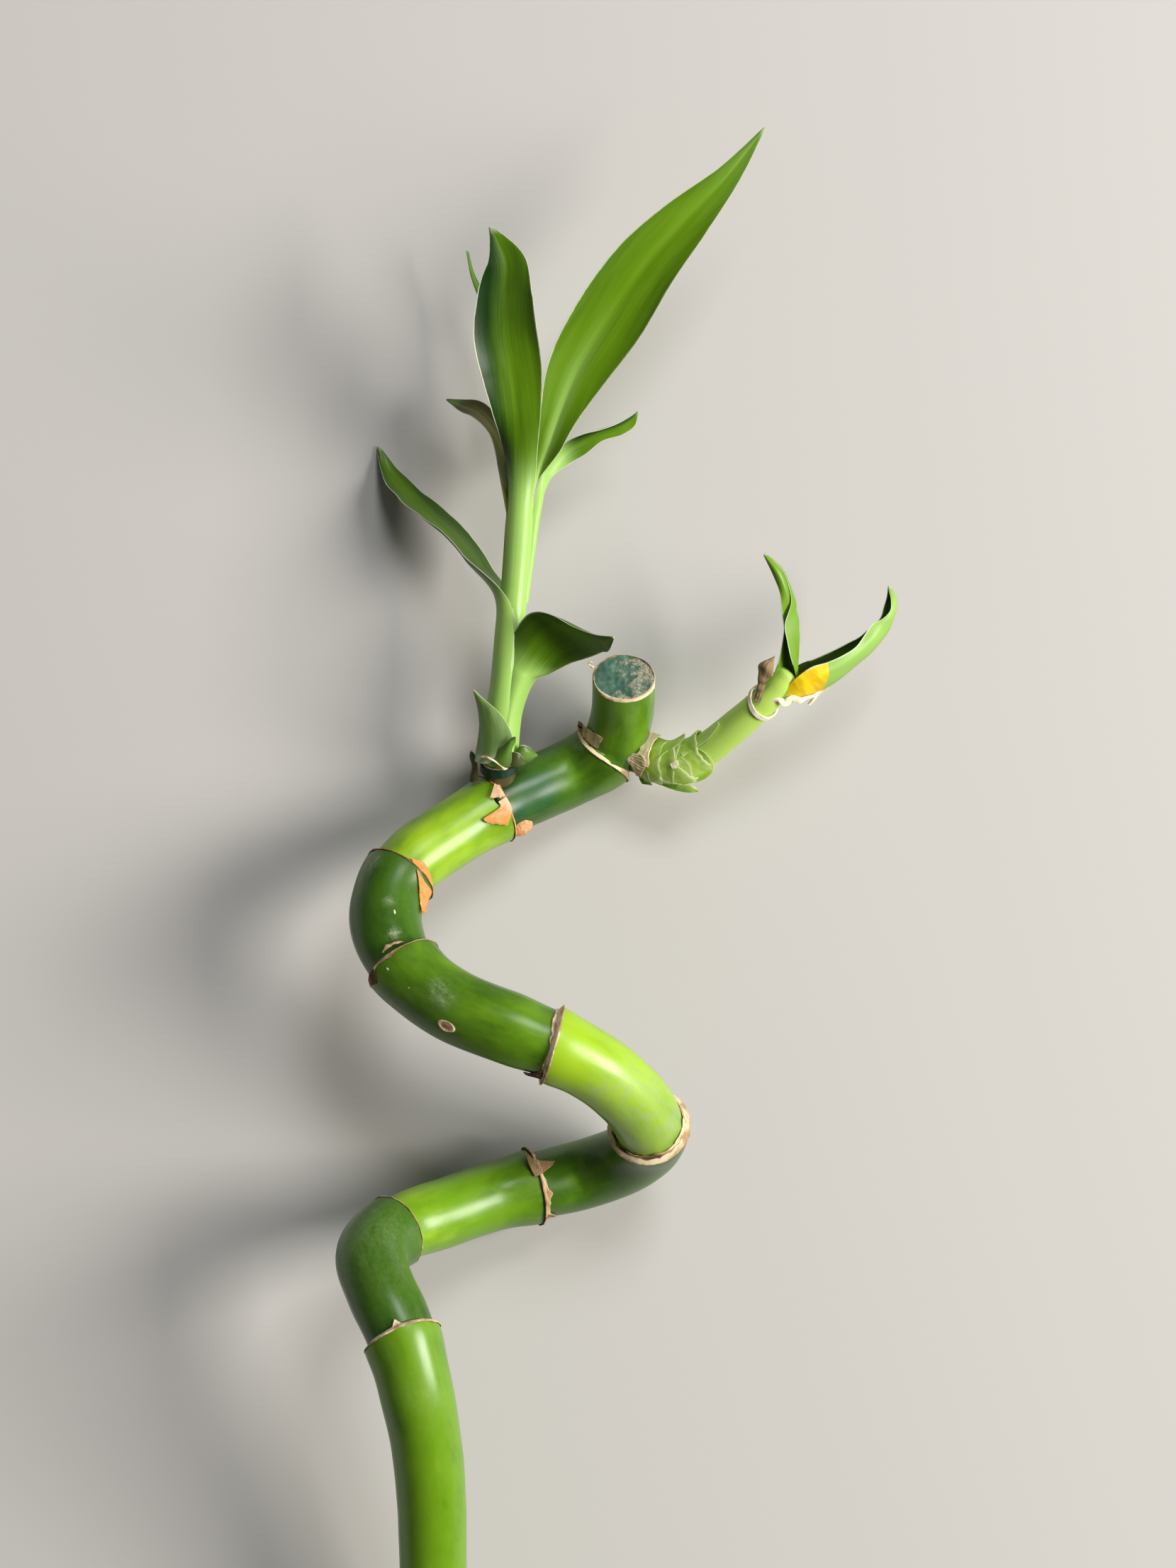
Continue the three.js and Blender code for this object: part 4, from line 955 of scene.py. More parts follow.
class Paint:
    """A material's node tree, built by short calls that return sockets."""

    def __init__(self, name, **shader):
        self.material = bpy.data.materials.new(name)
        self.material.use_nodes = True
        self.tree = self.material.node_tree
        self.finish(**shader)

    def finish(self, **shader):
        """Sets these inputs of the shader, and gives the material."""
        for key, value in shader.items():
            self.set(self.tree.nodes["Principled BSDF"].inputs[key.replace("_", " ")], value)
        return self.material

    def set(self, socket, value):
        if isinstance(value, bpy.types.NodeSocket):
            self.tree.links.new(value, socket)
        else:
            socket.default_value = value

    def add(self, kind, inputs, **settings):
        """A new node. inputs are sockets or plain values, by the input's name or number."""
        node = self.tree.nodes.new("ShaderNode" + kind)
        for key, value in settings.items():
            setattr(node, key, value)
        for key, value in inputs.items():
            self.set(node.inputs[key], value)
        return node

    def attribute(self, name, output="Fac"):
        return self.add("Attribute", {}, attribute_name=name).outputs[output]

    def flow(self, stretch):
        """The piece's own coordinates, each times its stretch."""
        inputs = {0: self.attribute("flow", "Vector"), 1: stretch, 2: FLOW_START}
        return self.add("VectorMath", inputs, operation="MULTIPLY_ADD").outputs[0]

    def noise(self, stretch, detail=4, rough=0.55):
        inputs = {"Vector": self.flow(stretch), "Scale": 1.0, "Detail": detail, "Roughness": rough}
        return self.add("TexNoise", inputs).outputs["Fac"]

    def spots(self, stretch):
        return self.add("TexVoronoi", {"Vector": self.flow(stretch), "Scale": 1.0}).outputs["Distance"]

    def ramp(self, value, *stops):
        """A colour for each value, with soft steps between the stops."""
        node = self.add("ValToRGB", {"Fac": value})
        node.color_ramp.interpolation = "EASE"
        elements = node.color_ramp.elements
        while len(elements) < len(stops):
            elements.new(0.5)
        for element, (place, colour) in zip(elements, stops):
            element.position = place
            element.color = (*colour, 1)
        return node.outputs["Color"]

    def mix(self, below, colour, share):
        """What is below, covered by a colour where share is 1."""
        node = self.add("Mix", {}, data_type="RGBA")
        self.set(node.inputs["Factor"], share)
        first, second = (socket for socket in node.inputs if socket.type == "RGBA")
        self.set(first, below)
        self.set(second, (*colour, 1) if isinstance(colour, tuple) else colour)
        return next(socket for socket in node.outputs if socket.type == "RGBA")

    def math(self, operation, a, b):
        return self.add("Math", {0: a, 1: b}, operation=operation).outputs[0]

    def vary(self, value, noise, amount):
        """value, raised and lowered by a noise that lies round a half."""
        return self.math("ADD", value, self.math("MULTIPLY", self.math("SUBTRACT", noise, 0.5), amount))

    def remap(self, value, low, high, to_low=0.0, to_high=1.0):
        """A smooth run from to_low to to_high, where value runs from low to high."""
        inputs = dict(enumerate((value, low, high, to_low, to_high)))
        return self.add("MapRange", inputs, interpolation_type="SMOOTHSTEP").outputs[0]

    def bump(self, height, distance, strength, **under):
        """The normal of a rough skin; under may give the Normal of the bumps that it lies on."""
        inputs = {"Strength": strength, "Distance": distance * MM, "Height": height, **under}
        return self.add("Bump", inputs).outputs["Normal"]


def cane_material():
    """Glossy green skin with fine fibres, a pale bloom, dark cool patches that are partly a mark of the skin
    and partly painted shade and a painted dark reflection, and small pale spots.
    """
    paint = Paint("green_cane", Coat_Weight=0.2, Coat_Roughness=0.24, Specular_IOR_Level=0.35)
    clouds = paint.noise((0.10, 0.22, 0.22), 3)
    fibres = paint.noise((0.16, 1.7, 1.7), 5, 0.6)
    colour = paint.ramp(
        paint.vary(paint.vary(paint.attribute("tone"), clouds, 0.50), fibres, 0.08),
        (0.05, (0.010, 0.038, 0.002)),
        (0.30, (0.046, 0.130, 0.003)),
        (0.60, (0.140, 0.300, 0.004)),
        (0.95, (0.340, 0.550, 0.014)),
    )
    bloom = paint.remap(paint.noise((1.0, 1.3, 1.3), 6, 0.75), 0.30, 0.95)
    bloom = paint.math("MULTIPLY", bloom, paint.attribute("bloom"))
    colour = paint.mix(colour, (0.30, 0.38, 0.20), bloom)
    # Dark cool patches: partly a dark mark of the skin, partly painted shade beneath the bracts and a painted
    # dark reflection
    colour = paint.mix(colour, (0.022, 0.100, 0.045), paint.attribute("cool"))
    spots = paint.remap(paint.spots((0.8, 0.8, 0.8)), 0.10, 0.03)
    spots = paint.math("MULTIPLY", spots, paint.remap(paint.noise((0.21, 0.21, 0.21), 2), 0.50, 0.66))
    colour = paint.mix(colour, (0.42, 0.55, 0.22), paint.math("MULTIPLY", spots, 0.55))
    rough = paint.remap(clouds, 0.3, 0.7, 0.26, 0.38)
    rough = paint.math("ADD", rough, paint.math("MULTIPLY", bloom, 0.35))
    normal = paint.bump(fibres, 0.03, 0.35)
    normal = paint.bump(paint.noise((1.4, 1.8, 1.8), 4), 0.03, 0.4, Normal=normal)
    return paint.finish(Base_Color=colour, Roughness=rough, Normal=normal)


def rim_material(name, cream, tan, brown):
    """Dry paper from cream over tan to brown, with fine folds along the stem."""
    paint = Paint(name, Specular_IOR_Level=0.25)
    grain = paint.noise((4.5, 0.7, 0.7), 6, 0.65)
    patches = paint.noise((0.5, 0.45, 0.45), 4)
    warm = paint.vary(paint.vary(paint.attribute("tone"), patches, 0.9), grain, 0.95)
    colour = paint.ramp(warm, (0.05, cream), (0.5, tan), (0.95, brown))
    rough = paint.remap(grain, 0.3, 0.7, 0.65, 0.9)
    return paint.finish(Base_Color=colour, Roughness=rough, Normal=paint.bump(grain, 0.12, 0.8))


def seal_material():
    """Dark wax with a pale crust."""
    paint = Paint("wax_seal", Specular_IOR_Level=0.45)
    crust = paint.noise((0.42, 0.42, 0.42), 7, 0.72)
    crust = paint.math("ADD", crust, paint.math("MULTIPLY", paint.attribute("tone"), 0.16))
    share = paint.remap(crust, 0.50, 0.61)
    wax, dust = paint.noise((0.3, 0.3, 0.3), 4), paint.noise((2.2, 2.2, 2.2), 5)
    deep = paint.ramp(wax, (0.3, (0.030, 0.100, 0.070)), (0.7, (0.105, 0.220, 0.150)))
    pale = paint.ramp(dust, (0.3, (0.14, 0.15, 0.09)), (0.7, (0.48, 0.44, 0.32)))
    colour = paint.mix(deep, pale, share)
    rough = paint.remap(share, 0.0, 1.0, 0.34, 0.8)
    return paint.finish(Base_Color=colour, Roughness=rough, Normal=paint.bump(crust, 0.5, 0.9))


def leaf_material(name, dark, mid, pale, margin=(0.62, 0.68, 0.48)):
    """Leaf: dark and mid greens, a pale foot and streak, fine veins along it and a thin whitish margin."""
    paint = Paint(name, Specular_IOR_Level=0.32, Coat_Weight=0.06, Coat_Roughness=0.3)
    veins = paint.noise((0.05, 3.4, 3.4), 3, 0.6)
    broad = paint.noise((0.06, 0.55, 0.55), 3)
    tone = paint.vary(paint.vary(paint.attribute("tone"), broad, 0.32), veins, 0.11)
    colour = paint.ramp(tone, (0.1, dark), (0.75, mid))
    share = paint.vary(paint.attribute("pale"), veins, 0.32)
    colour = paint.mix(colour, pale, paint.remap(share, 0.05, 0.95))
    colour = paint.mix(colour, (0.085, 0.050, 0.028), paint.attribute("brown"))
    gold = paint.noise((0.5, 0.5, 0.5), 4)
    gold = paint.ramp(gold, (0.35, (0.66, 0.42, 0.004)), (0.6, (0.90, 0.66, 0.008)))
    yellow = paint.vary(paint.attribute("yellow"), broad, 0.3)
    colour = paint.mix(colour, gold, paint.remap(yellow, -0.1, 0.3))
    edge = paint.vary(paint.attribute("edge"), paint.noise((0.5, 0.9, 0.9), 4), 0.04)
    colour = paint.mix(colour, margin, paint.remap(edge, 0.955, 0.99, 0.0, 0.85))
    rough = paint.remap(broad, 0.3, 0.7, 0.32, 0.46)
    return paint.finish(Base_Color=colour, Roughness=rough, Normal=paint.bump(veins, 0.05, 0.6))


def dry_material(name, light, deep):
    """Dead leaf with fibres along it."""
    paint = Paint(name, Specular_IOR_Level=0.2)
    fibres = paint.noise((0.25, 3.2, 3.2), 5, 0.65)
    colour = paint.ramp(fibres, (0.3, deep), (0.7, light))
    rough = paint.remap(fibres, 0.3, 0.7, 0.6, 0.85)
    return paint.finish(Base_Color=colour, Roughness=rough, Normal=paint.bump(fibres, 0.15, 0.9))


SKINS = {
    "cane": cane_material(),
    "dark": leaf_material("dark_collar", (0.006, 0.022, 0.012), (0.030, 0.080, 0.050), (0.1, 0.2, 0.1)),
    "rim": rim_material("dry_rim", (0.78, 0.63, 0.42), (0.42, 0.26, 0.13), (0.12, 0.062, 0.036)),
    "scrap": rim_material("dry_scrap_paper", (0.78, 0.52, 0.32), (0.68, 0.29, 0.075), (0.25, 0.10, 0.04)),
    "ivory": rim_material("ivory_ring", (0.86, 0.78, 0.58), (0.70, 0.56, 0.34), (0.42, 0.28, 0.13)),
    "paper": rim_material("papery_sheath", (0.95, 0.77, 0.50), (0.86, 0.60, 0.33), (0.55, 0.33, 0.16)),
    "wax": seal_material(),
    "leaf": leaf_material("leaf_green", (0.007, 0.034, 0.002), (0.130, 0.275, 0.002), (0.32, 0.54, 0.115)),
    "sheath": leaf_material(
        "bract_green", (0.010, 0.045, 0.006), (0.150, 0.300, 0.040), (0.42, 0.50, 0.30), (0.72, 0.66, 0.46)),
    "shoot": leaf_material(
        "shoot_green", (0.11, 0.26, 0.010), (0.36, 0.58, 0.040), (0.55, 0.72, 0.22), (0.68, 0.74, 0.36)),
    "dry_leaf": dry_material("dry_brown", (0.38, 0.27, 0.14), (0.13, 0.085, 0.045)),
    "bud": dry_material("bud_skin", (0.78, 0.48, 0.26), (0.52, 0.21, 0.07)),
}


# The cane

cane = Stem(CANE_KNOTS, JOINT_KNOTS)
for index, side, *moves in JOINT_SKEWS:
    cane.skews.append((cane.joints[index], cane.facing(cane.joints[index], side), *moves))
main_stem = Stem(MAIN_STEM)
side_stem = Stem(SIDE_STEM)
STEMS = {"cane": cane, "side": side_stem}


def cane_tone_and_shade(s):
    """How light the green is along the cane, from the lengths' tones with their painted shade, and with a
    darker band of painted shade just above each joint, where its rim shades the waist.
    """
    ends = np.array([0, *cane.joints, cane.length])
    i = np.clip(np.searchsorted(ends, s, side="right") - 1, 0, len(TONES_AND_SHADE) - 1)
    tones = np.array(TONES_AND_SHADE)[i]
    start, end = tones[..., 0], tones[..., 1]
    tone = start + (end - start) * (s - ends[i]) / (ends[i + 1] - ends[i])
    for joint in cane.joints:
        # Painted shade: a darker band in the waist just above each joint, beside its rim
        tone -= 0.10 * bell((s - joint - 1.5) / 2.0) * (s > joint)
    return tone


def cane_stations():
    """Where the rings of the cane are: evenly along it, and closer at its joints and its top."""
    even = np.arange(0, cane.length, RING_SPACING)
    close = np.concatenate([joint + np.linspace(-1.4, 1.6, 21) for joint in cane.joints])
    top = cane.length - np.linspace(0, 1.0, 6)
    return np.unique(np.round(np.concatenate([even, close, top, [cane.length]]), 3))


def spot_on_cane(x, y):
    """The distance along the cane and the angle round it, on its upper side, of a place in the photo."""
    s, angle = np.meshgrid(np.arange(60, cane.length, 0.5), np.linspace(0, 2 * math.pi, 120), indexing="ij")
    skin = cane.surface(s, angle, 0)
    off = np.linalg.norm(in_photo(skin) - [x, y], axis=-1) - 0.15 * skin[..., 2]
    best = np.unravel_index(np.argmin(off), off.shape)
    return s[best], angle[best]


def near_mark(flow, x, y, size):
    """1 on the cane's skin at a place in the photo, falling to 0 away from it."""
    s, angle = spot_on_cane(x, y)
    turn = turn_from(np.arctan2(flow[..., 2], flow[..., 1]), angle)
    return bell(np.hypot(flow[..., 0] - s, CANE_FLOW * turn) / size)


def narrowed(ring, share):
    """A ring drawn in towards its middle."""
    middle = ring.mean(0)
    return middle + (ring - middle) * share


def build_cane():
    s = cane_stations()[:, None]
    angle = turns(CANE_SIDES)
    flow = flow_round(s, angle, CANE_FLOW)
    rings = cane.surface(s, angle, 0.10 * cloud(flow, 14, 1) + 0.03 * cloud(flow, 4, 2))
    top = cane.surface(cane.length, angle, 0)
    floor = cane.surface(cane.length - CUT_DEPTH, angle, 0)
    cut = [narrowed(top, 0.97), narrowed(top, 0.93), narrowed(top, CUT_EDGE), narrowed(floor, CUT_EDGE)]
    rings = np.concatenate([rings, cut])
    rings[..., 2] = np.maximum(rings[..., 2], 0)
    flow = np.concatenate([flow, np.repeat(flow[-1:], len(cut), 0)])
    s = flow[..., 0]
    tone = cane_tone_and_shade(s - cane.skew(s, np.arctan2(flow[..., 2], flow[..., 1])))
    bloom = 0.06 + sum(strength * bell((s - cane.joints[joint] - after) / reach)
                       for joint, after, reach, strength in BLOOM)
    # Dark cool patches: partly a dark mark of the skin, partly painted shade beneath the bracts and a painted
    # dark reflection
    cool = np.zeros_like(bloom)
    for x, y, size, strength in SMEARS:
        bloom += strength * near_mark(flow, x, y, size)
    for x, y, size, strength in MARK_SHADE_REFLECTION_PATCHES:
        cool += strength * smooth(1.6 * near_mark(flow, x, y, size))
    capped_piece("cane_skin", "cane", "cane", ["cane"], rings, flow=flow, tone=tone, bloom=bloom, cool=cool)


def build_rim(i, rim, layer):
    """A dry band in the step of a joint, with torn edges and scraps; a second layer is smaller, on top."""
    joint, thick, seed = cane.joints[i], rim["thick"], i + 400 * layer
    share, angle = shares(16), turns(360)
    tear = 0.9 * ring_wobble(angle, seed + 10, 2, 6) + 0.25 * ring_wobble(angle, seed + 20, 17, 7)
    up = rim["reach"] * 0.55 ** layer * (1 + rim["ragged"] * tear)
    down = 0.12 * (1 + 0.6 * ring_wobble(angle, seed + 30, 3, 6))
    curl = 0.05 + 0.10 * np.abs(ring_wobble(angle, seed + 50, 2, 7))
    warm = rim["warm"] - 0.25 * layer + 0.22 * ring_wobble(angle, seed + 110, 1, 5)
    warm = warm + 0.10 * ring_wobble(angle, seed + 120, 11, 5)
    back = 0 * angle
    for side, half, reach, colour in [] if layer else rim["scraps"]:
        off = turn_from(angle, cane.facing(joint + STEP_LENGTH, side)) / math.radians(half)
        inside = np.clip(1 - off, 0, 1)
        torn = inside * abs(reach) * (1 + 0.16 * ring_wobble(angle, seed + 70, 9, 8))
        if reach > 0:
            up = up + torn
        else:
            down = down + torn
            back = np.maximum(back, smooth(inside * 3))
        curl = curl + 0.09 * inside * abs(reach)
        warm = warm + (colour - rim["warm"]) * smooth(inside * 3)
    start, end = joint + 0.02 - down, joint + 0.02 + up
    s = start + (end - start) * share
    free = np.maximum(1 - share * 2, 0) ** 2 * back + np.maximum(share * 1.5 - 0.5, 0) ** 1.5
    flow = flow_round(s, angle, CANE_FLOW)
    crumple = 0.05 * cloud(flow, 1.1, seed + 90) + 0.03 * cloud(flow, 0.45, seed + 95)
    lift = 0.06 + (0.5 + layer) * thick + curl * free + np.maximum(crumple, -0.05)
    middle = cane.surface(s + cane.skew(s, angle), angle, lift)
    name = f"rim_{i + 1}"
    skin, nodes = "scrap" if i in ORANGE_RIMS else "rim", [] if layer else [name]
    sheet_piece(f"{name}_layer_{layer + 1}", skin, "rim", nodes, middle,
                thick * (1 - 0.6 * np.abs(2 * share - 1) ** 3), True, RIM_CLEAR,
                flow=flow, tone=warm + 0.5 * (0.5 - share))


def first_twice(grid):
    """Values over rings, with those of the first ring again for the wall that goes down from it."""
    return np.concatenate([grid[:1], grid])


def build_seal():
    """The wax in the cut top, lumpy, with its crust."""
    share, angle = np.linspace(1, 0.02, 26)[:, None], turns(96)
    base, tangent, side, up = cane.place(cane.length)
    radius = cane.radius(cane.length) * SEAL_SHARE * share
    out = towards(side, up, angle)
    flat = base + out * radius[..., None]
    flow = flow_of(radius * np.cos(angle), radius * np.sin(angle), 0.0)
    height = 0.05 + 0.16 * (1 - share ** 4) + 0.10 * cloud(flow, 2.4, 5) + 0.06 * cloud(flow, 0.8, 6)
    foot = flat[:1] - tangent * (CUT_DEPTH - SEAL_GAP)
    rings = np.concatenate([foot, flat + tangent * height[..., None]])
    capped_piece("wax_disc", "wax", "wax", ["cut_seal"], rings,
                 flow=first_twice(flow), tone=out[:, 0] * first_twice(share))


def build_cut_edge():
    """The ragged cream edge of the cut, between the green skin and the wax."""
    share, angle = shares(7), turns(260)
    base, tangent, side, up = cane.place(cane.length)
    front = 0.5 + 0.5 * np.cos(angle - cane.facing(cane.length, [0.25, -1, 0.2]))
    wide = 0.04 + 0.24 * smooth(front * 1.6 - 0.6) + 0.10 * ring_wobble(angle, 7, 3, 12)
    reach = cane.radius(cane.length) * 0.965 + wide * np.cos(math.pi * share)
    height = (0.16 + 0.12 * ring_wobble(angle, 8, 2, 10)) * np.sin(math.pi * share) - 0.30 * (share == 0)
    middle = base + towards(side, up, angle) * reach[..., None] + tangent * height[..., None]
    tone = 0.65 - 0.6 * smooth(front * 2 - 0.4) + 0.16 * ring_wobble(angle, 9, 1, 6)
    sheet_piece("cut_edge", "rim", "rim", [], middle, CUT_EDGE_THICK, True,
                flow=flow_round(share * 2, angle, CANE_FLOW), tone=tone)


def build_bud():
    """The dormant bud, a low dome with a groove, sunk into the skin."""
    s = cane.joints[BUD_JOINT] + BUD["after"]
    angle = cane.facing(s, BUD["side"])
    _, tangent, _, _ = cane.place(s)
    foot = cane.surface(s, angle, -BUD["sunk"])
    out = unit(cane.surface(s, angle, 1.0) - cane.surface(s, angle, 0.0))
    share, turn = shares(22), turns(48)
    width = np.sqrt(np.clip(1 - share ** 2.6, 0, 1)) * (1 + 0.06 * ring_wobble(turn, 3, 2, 6)) + 0.01
    x = BUD["long"] * width * np.cos(turn)
    y = BUD["wide"] * width * np.sin(turn)
    z = (BUD["high"] + BUD["sunk"]) * share
    groove = 0.25 * bell((x - 0.5) / 0.25) * share
    across = np.cross(out, tangent)
    rings = foot + out * (z - groove)[..., None] + tangent * x[..., None] + across * y[..., None]
    capped_piece("bud_scale", "bud", "bud", ["bud"], rings, flow=flow_of(z, x, y))


def build_mark(name, x, y, long, wide, high, skin, middle_tone, edge_tone):
    """A low disc on the cane; a large one has a raised lip, stronger on one side."""
    s0, angle0 = spot_on_cane(x, y)
    share, turn = np.linspace(1, 0.03, 12)[:, None], turns(28)
    s = s0 + long * share * np.cos(turn)
    angle = angle0 + wide * share * np.sin(turn) / cane.radius(s0)
    lip = MARK_LIP * (1 - 0.6 * np.sin(turn)) * bell((share - 0.8) / 0.16) if long > 1 else 0
    disc = cane.surface(s, angle, 0.01 + high * (1 - share ** 2 + lip))
    rings = np.concatenate([cane.surface(s[:1], angle[:1], -0.2), disc])
    flow = first_twice(flow_of(s - s0, CANE_FLOW * (angle - angle0), share))
    tone = middle_tone + (edge_tone - middle_tone) * first_twice(share)
    capped_piece(name, skin, "cane", [], rings, flow=flow, tone=tone, yellow=NO_YELLOW)


# The shoots

def build_shoot(name, stem, node, tone, pale):
    """The bare stem of a shoot, rounded off at its tip and brown at its foot."""
    s = np.linspace(0, stem.length, int(stem.length / RING_SPACING))[:, None]
    angle = turns(SHOOT_SIDES)
    rings = stem.surface(s, angle, 0)
    tip, tangent, _, _ = stem.place(stem.length)
    dome = [tip + (rings[-1] - tip) * share + tangent * out for share, out in SHOOT_TIP]
    rings = np.concatenate([rings, dome])
    flow = flow_round(s, angle, SHOOT_FLOW)
    flow = np.concatenate([flow, np.repeat(flow[-1:], len(dome), 0)])
    above = smooth((flow[..., 0] - 2.2) / 1.2)
    capped_piece(name, "shoot", "shoot", [node], rings, flow=flow, tone=tone * above, pale=pale * above,
                 edge=0.0, brown=0.92 * (1 - above), yellow=NO_YELLOW)


def build_collar(name, stem, collar):
    """A ring round a shoot, uneven at its upper edge."""
    share, angle = shares(6), turns(160)
    foot, thick, seed = collar["from"], collar["thick"], collar["seed"]
    top = collar["to"] + collar["ragged"] * ring_wobble(angle, seed, 2, 9)
    s = foot + (top - foot) * share
    s = s + collar.get("skew", 0) * np.cos(angle - stem.facing(foot, [0.2, -0.2, 1]))
    flare = 0.15 * share * np.abs(ring_wobble(angle, seed + 1, 2, 5))
    middle = stem.surface(s, angle, 0.12 + thick / 2 + flare)
    sheet_piece(name, collar["skin"], collar["slot"], collar["nodes"], middle, thick, True,
                flow=flow_round(s, angle, SHOOT_FLOW),
                tone=collar["warm"] + 0.15 * ring_wobble(angle, seed + 2, 1, 5), yellow=NO_YELLOW)


def pale_edge_and_glow(left):
    """How much paler a scale is where this much of it is left up to its free edge: partly its dry pale margin
    and partly a painted glow of light shining through the thin edge.
    """
    return 0.45 * smooth(1.2 - left / 1.6)


def build_scale(name, scale, seed):
    """A scale that hugs the side shoot, and whose torn edge rises to a tip."""
    foot, low = scale["from"], scale["low"]
    full = scale["to"] - foot
    v = np.linspace(1, -1, 90)
    torn = 0.05 * wobble(v * 9, seed, 4) + 0.01 * wobble(v * 40, seed + 1, 3)
    s = foot + full * (low + (1 - low) * (1 - np.abs(v)) ** 1.6 + torn) * shares(30)
    share = np.clip((s - foot) / full, 0, 1)
    lift = SCALE_LIFT + (scale["tip_lift"] - SCALE_LIFT) * share ** 3 + 0.2
    grid = side_stem.surface(s, side_stem.facing(foot, scale["side"]) + SCALE_HALF * v, lift)
    grid = crumpled(grid, 0.05, (1, 2.2, seed), (0.5, 0.8, seed + 9))
    left = np.abs(s[-1:] - s)
    edge = np.clip(1 - left / 0.3, 0, 1)
    sheet_piece(name + "_skin", "shoot", "shoot", [name], grid, SCALE_THICK * (1 - 0.7 * edge),
                flow=flow_of(s, 3 * v, 0.0), tone=0.95, pale=0.5 * (1 - 0.7 * share) + pale_edge_and_glow(left),
                edge=0.955 + 0.035 * smooth(edge * 1.5), brown=0.0, yellow=NO_YELLOW)


# Leaves

def woven(lines, rows, columns):
    """Points over a surface that runs through these lines of points."""
    even = []
    for line in lines:
        fine = catmull(line, 12)[0]
        gone = along_line(fine)
        even.append(sampled(fine, gone, np.linspace(0, gone[-1], columns)))
    fine = catmull(np.array(even).reshape(len(lines), -1), 40)[0]
    fine = sampled(fine, np.arange(len(fine)), np.linspace(0, len(fine) - 1, rows))
    return fine.reshape(rows, columns, -1)


def station_values(stations, t):
    """Point, tangent, half width, roll and cup of a leaf at shares t of its length."""
    rows = np.array(stations, float)
    line, at = catmull(rows[:, :3])
    index, where = np.arange(len(line)), t * at[-1]
    point = sampled(line, index, where)
    tangent = unit(sampled(np.gradient(line, axis=0), index, where))
    place = t * (len(rows) - 1)
    i = np.clip(place.astype(int), 0, len(rows) - 2)
    roll = rows[i, 4] + (rows[i + 1, 4] - rows[i, 4]) * smooth(place - i)
    fine = catmull(np.column_stack([np.arange(len(rows)) * 3.0, rows[:, 3], rows[:, 5]]))[0]
    _, half, cup = sampled(fine, index, where).T
    return point, tangent, np.maximum(half, 0.05), np.radians(roll), cup


def blade_grid(leaf, t, v):
    """The middle surface of a leaf along its midrib, with rippled edges and a crease in the middle."""
    point, tangent, half, roll, cup = station_values(leaf["stations"], t)
    across = unit(np.cross(tangent, [0, 0, 1]))
    up = unit(np.cross(across, tangent))
    across = towards(across, np.cross(tangent, across), roll)
    up = towards(up, np.cross(tangent, up), roll)
    t, half, cup = t[:, None], half[:, None], cup[:, None]
    ripple = leaf["wave"] * np.sin(9 * t + 1.7 * v) * v * v * np.sin(math.pi * t)
    crease = 0.09 * half ** 0.5 * bell(v / 0.16) * np.sin(math.pi * t) ** 0.5
    rise = cup * v * v + ripple - crease
    return point[:, None] + across[:, None] * (half * v)[..., None] + up[:, None] * rise[..., None]


def sheathed_grid(leaf, stem, t, v):
    """A leaf whose foot wraps its stem and opens into the blade, and the distance along it."""
    sheath, first = leaf["sheath"], leaf["stations"][0]
    foot, join = sheath["from"], sheath["join"]
    where = stem.s[np.argmin(np.linalg.norm(stem.line - first[:3], axis=1))]
    blade = blade_grid(leaf, t, v)
    before = np.linspace(foot, where, int((where - foot) / 0.8), endpoint=False)
    s = np.concatenate([before, where + along_line(blade[:, len(v) // 2])])
    share = 0.55 * smooth((s - foot) / (where - foot))
    narrow = first[3] / (stem.radius(where) + 0.6)
    half = (math.radians(sheath["half"]) * (1 - share) + narrow * share)[:, None]
    angle = stem.facing(where, sheath["side"])
    wraps = [stem.surface(s[:, None], angle + sign * half * v, sheath["lift"]) for sign in (1, -1)]
    row = int(join * LEAF_ROWS)
    gaps = [np.linalg.norm(wrap[len(before) + row] - blade[row], axis=-1).sum() for wrap in wraps]
    wrap = wraps[int(gaps[1] < gaps[0])]
    weight = np.concatenate([0 * before, smooth(t / join)])[:, None, None]
    blade = np.concatenate([np.repeat(blade[:1], len(before), 0), blade])
    return wrap * (1 - weight) + blade * weight, s - foot


def row_grid(rows, v):
    """A leaf or bract that bulges between its two edges, and the distance along it."""
    table = [np.concatenate([seen(left), seen(right), [bulge]]) for left, right, bulge in rows]
    line = catmull(table, 14)[0]
    left, right, bulge = line[:, :3], line[:, 3:6], line[:, 6:]
    middle = (left + right) / 2
    flat = middle[:, None] + (right - left)[:, None] / 2 * v[:, None]
    up = unit(np.cross(right - left, np.gradient(middle, axis=0)))
    up = np.where(up[:, 2:] < 0, -up, up)
    up[-1] = up[-2]
    return flat + up[:, None] * (bulge * (1 - v ** 2))[..., None], along_line(middle)


def leaf_grid(leaf):
    """The middle surface of a leaf or bract and the distance along it, from whichever way it is set out."""
    t, v = np.linspace(0, 1, LEAF_ROWS), np.linspace(-1, 1, LEAF_COLUMNS)
    if "lines" in leaf:
        grid = woven([seen(line) for line in leaf["lines"]], LEAF_ROWS, FOLDED_COLUMNS)
        return grid, along_line(grid.mean(1))
    if "rows" in leaf:
        return row_grid(leaf["rows"], v)
    if "sheath" in leaf:
        return sheathed_grid(leaf, main_stem, t, v)
    grid = blade_grid(leaf, t, v)
    return grid, t * np.linalg.norm(grid[-1, 0] - grid[0, 0])


def yellow_patch(span, grid, v, seed):
    """1 inside a yellow patch between two places along X, and below 0 outside it."""
    start, end = span
    x = grid[..., 0] + 0.5 * v + 0.35 * cloud(grid, 1.6, seed)
    return np.clip(np.minimum((x - start) / 4, np.minimum(end - x, 2 * (0.12 - v))), -1, 1)


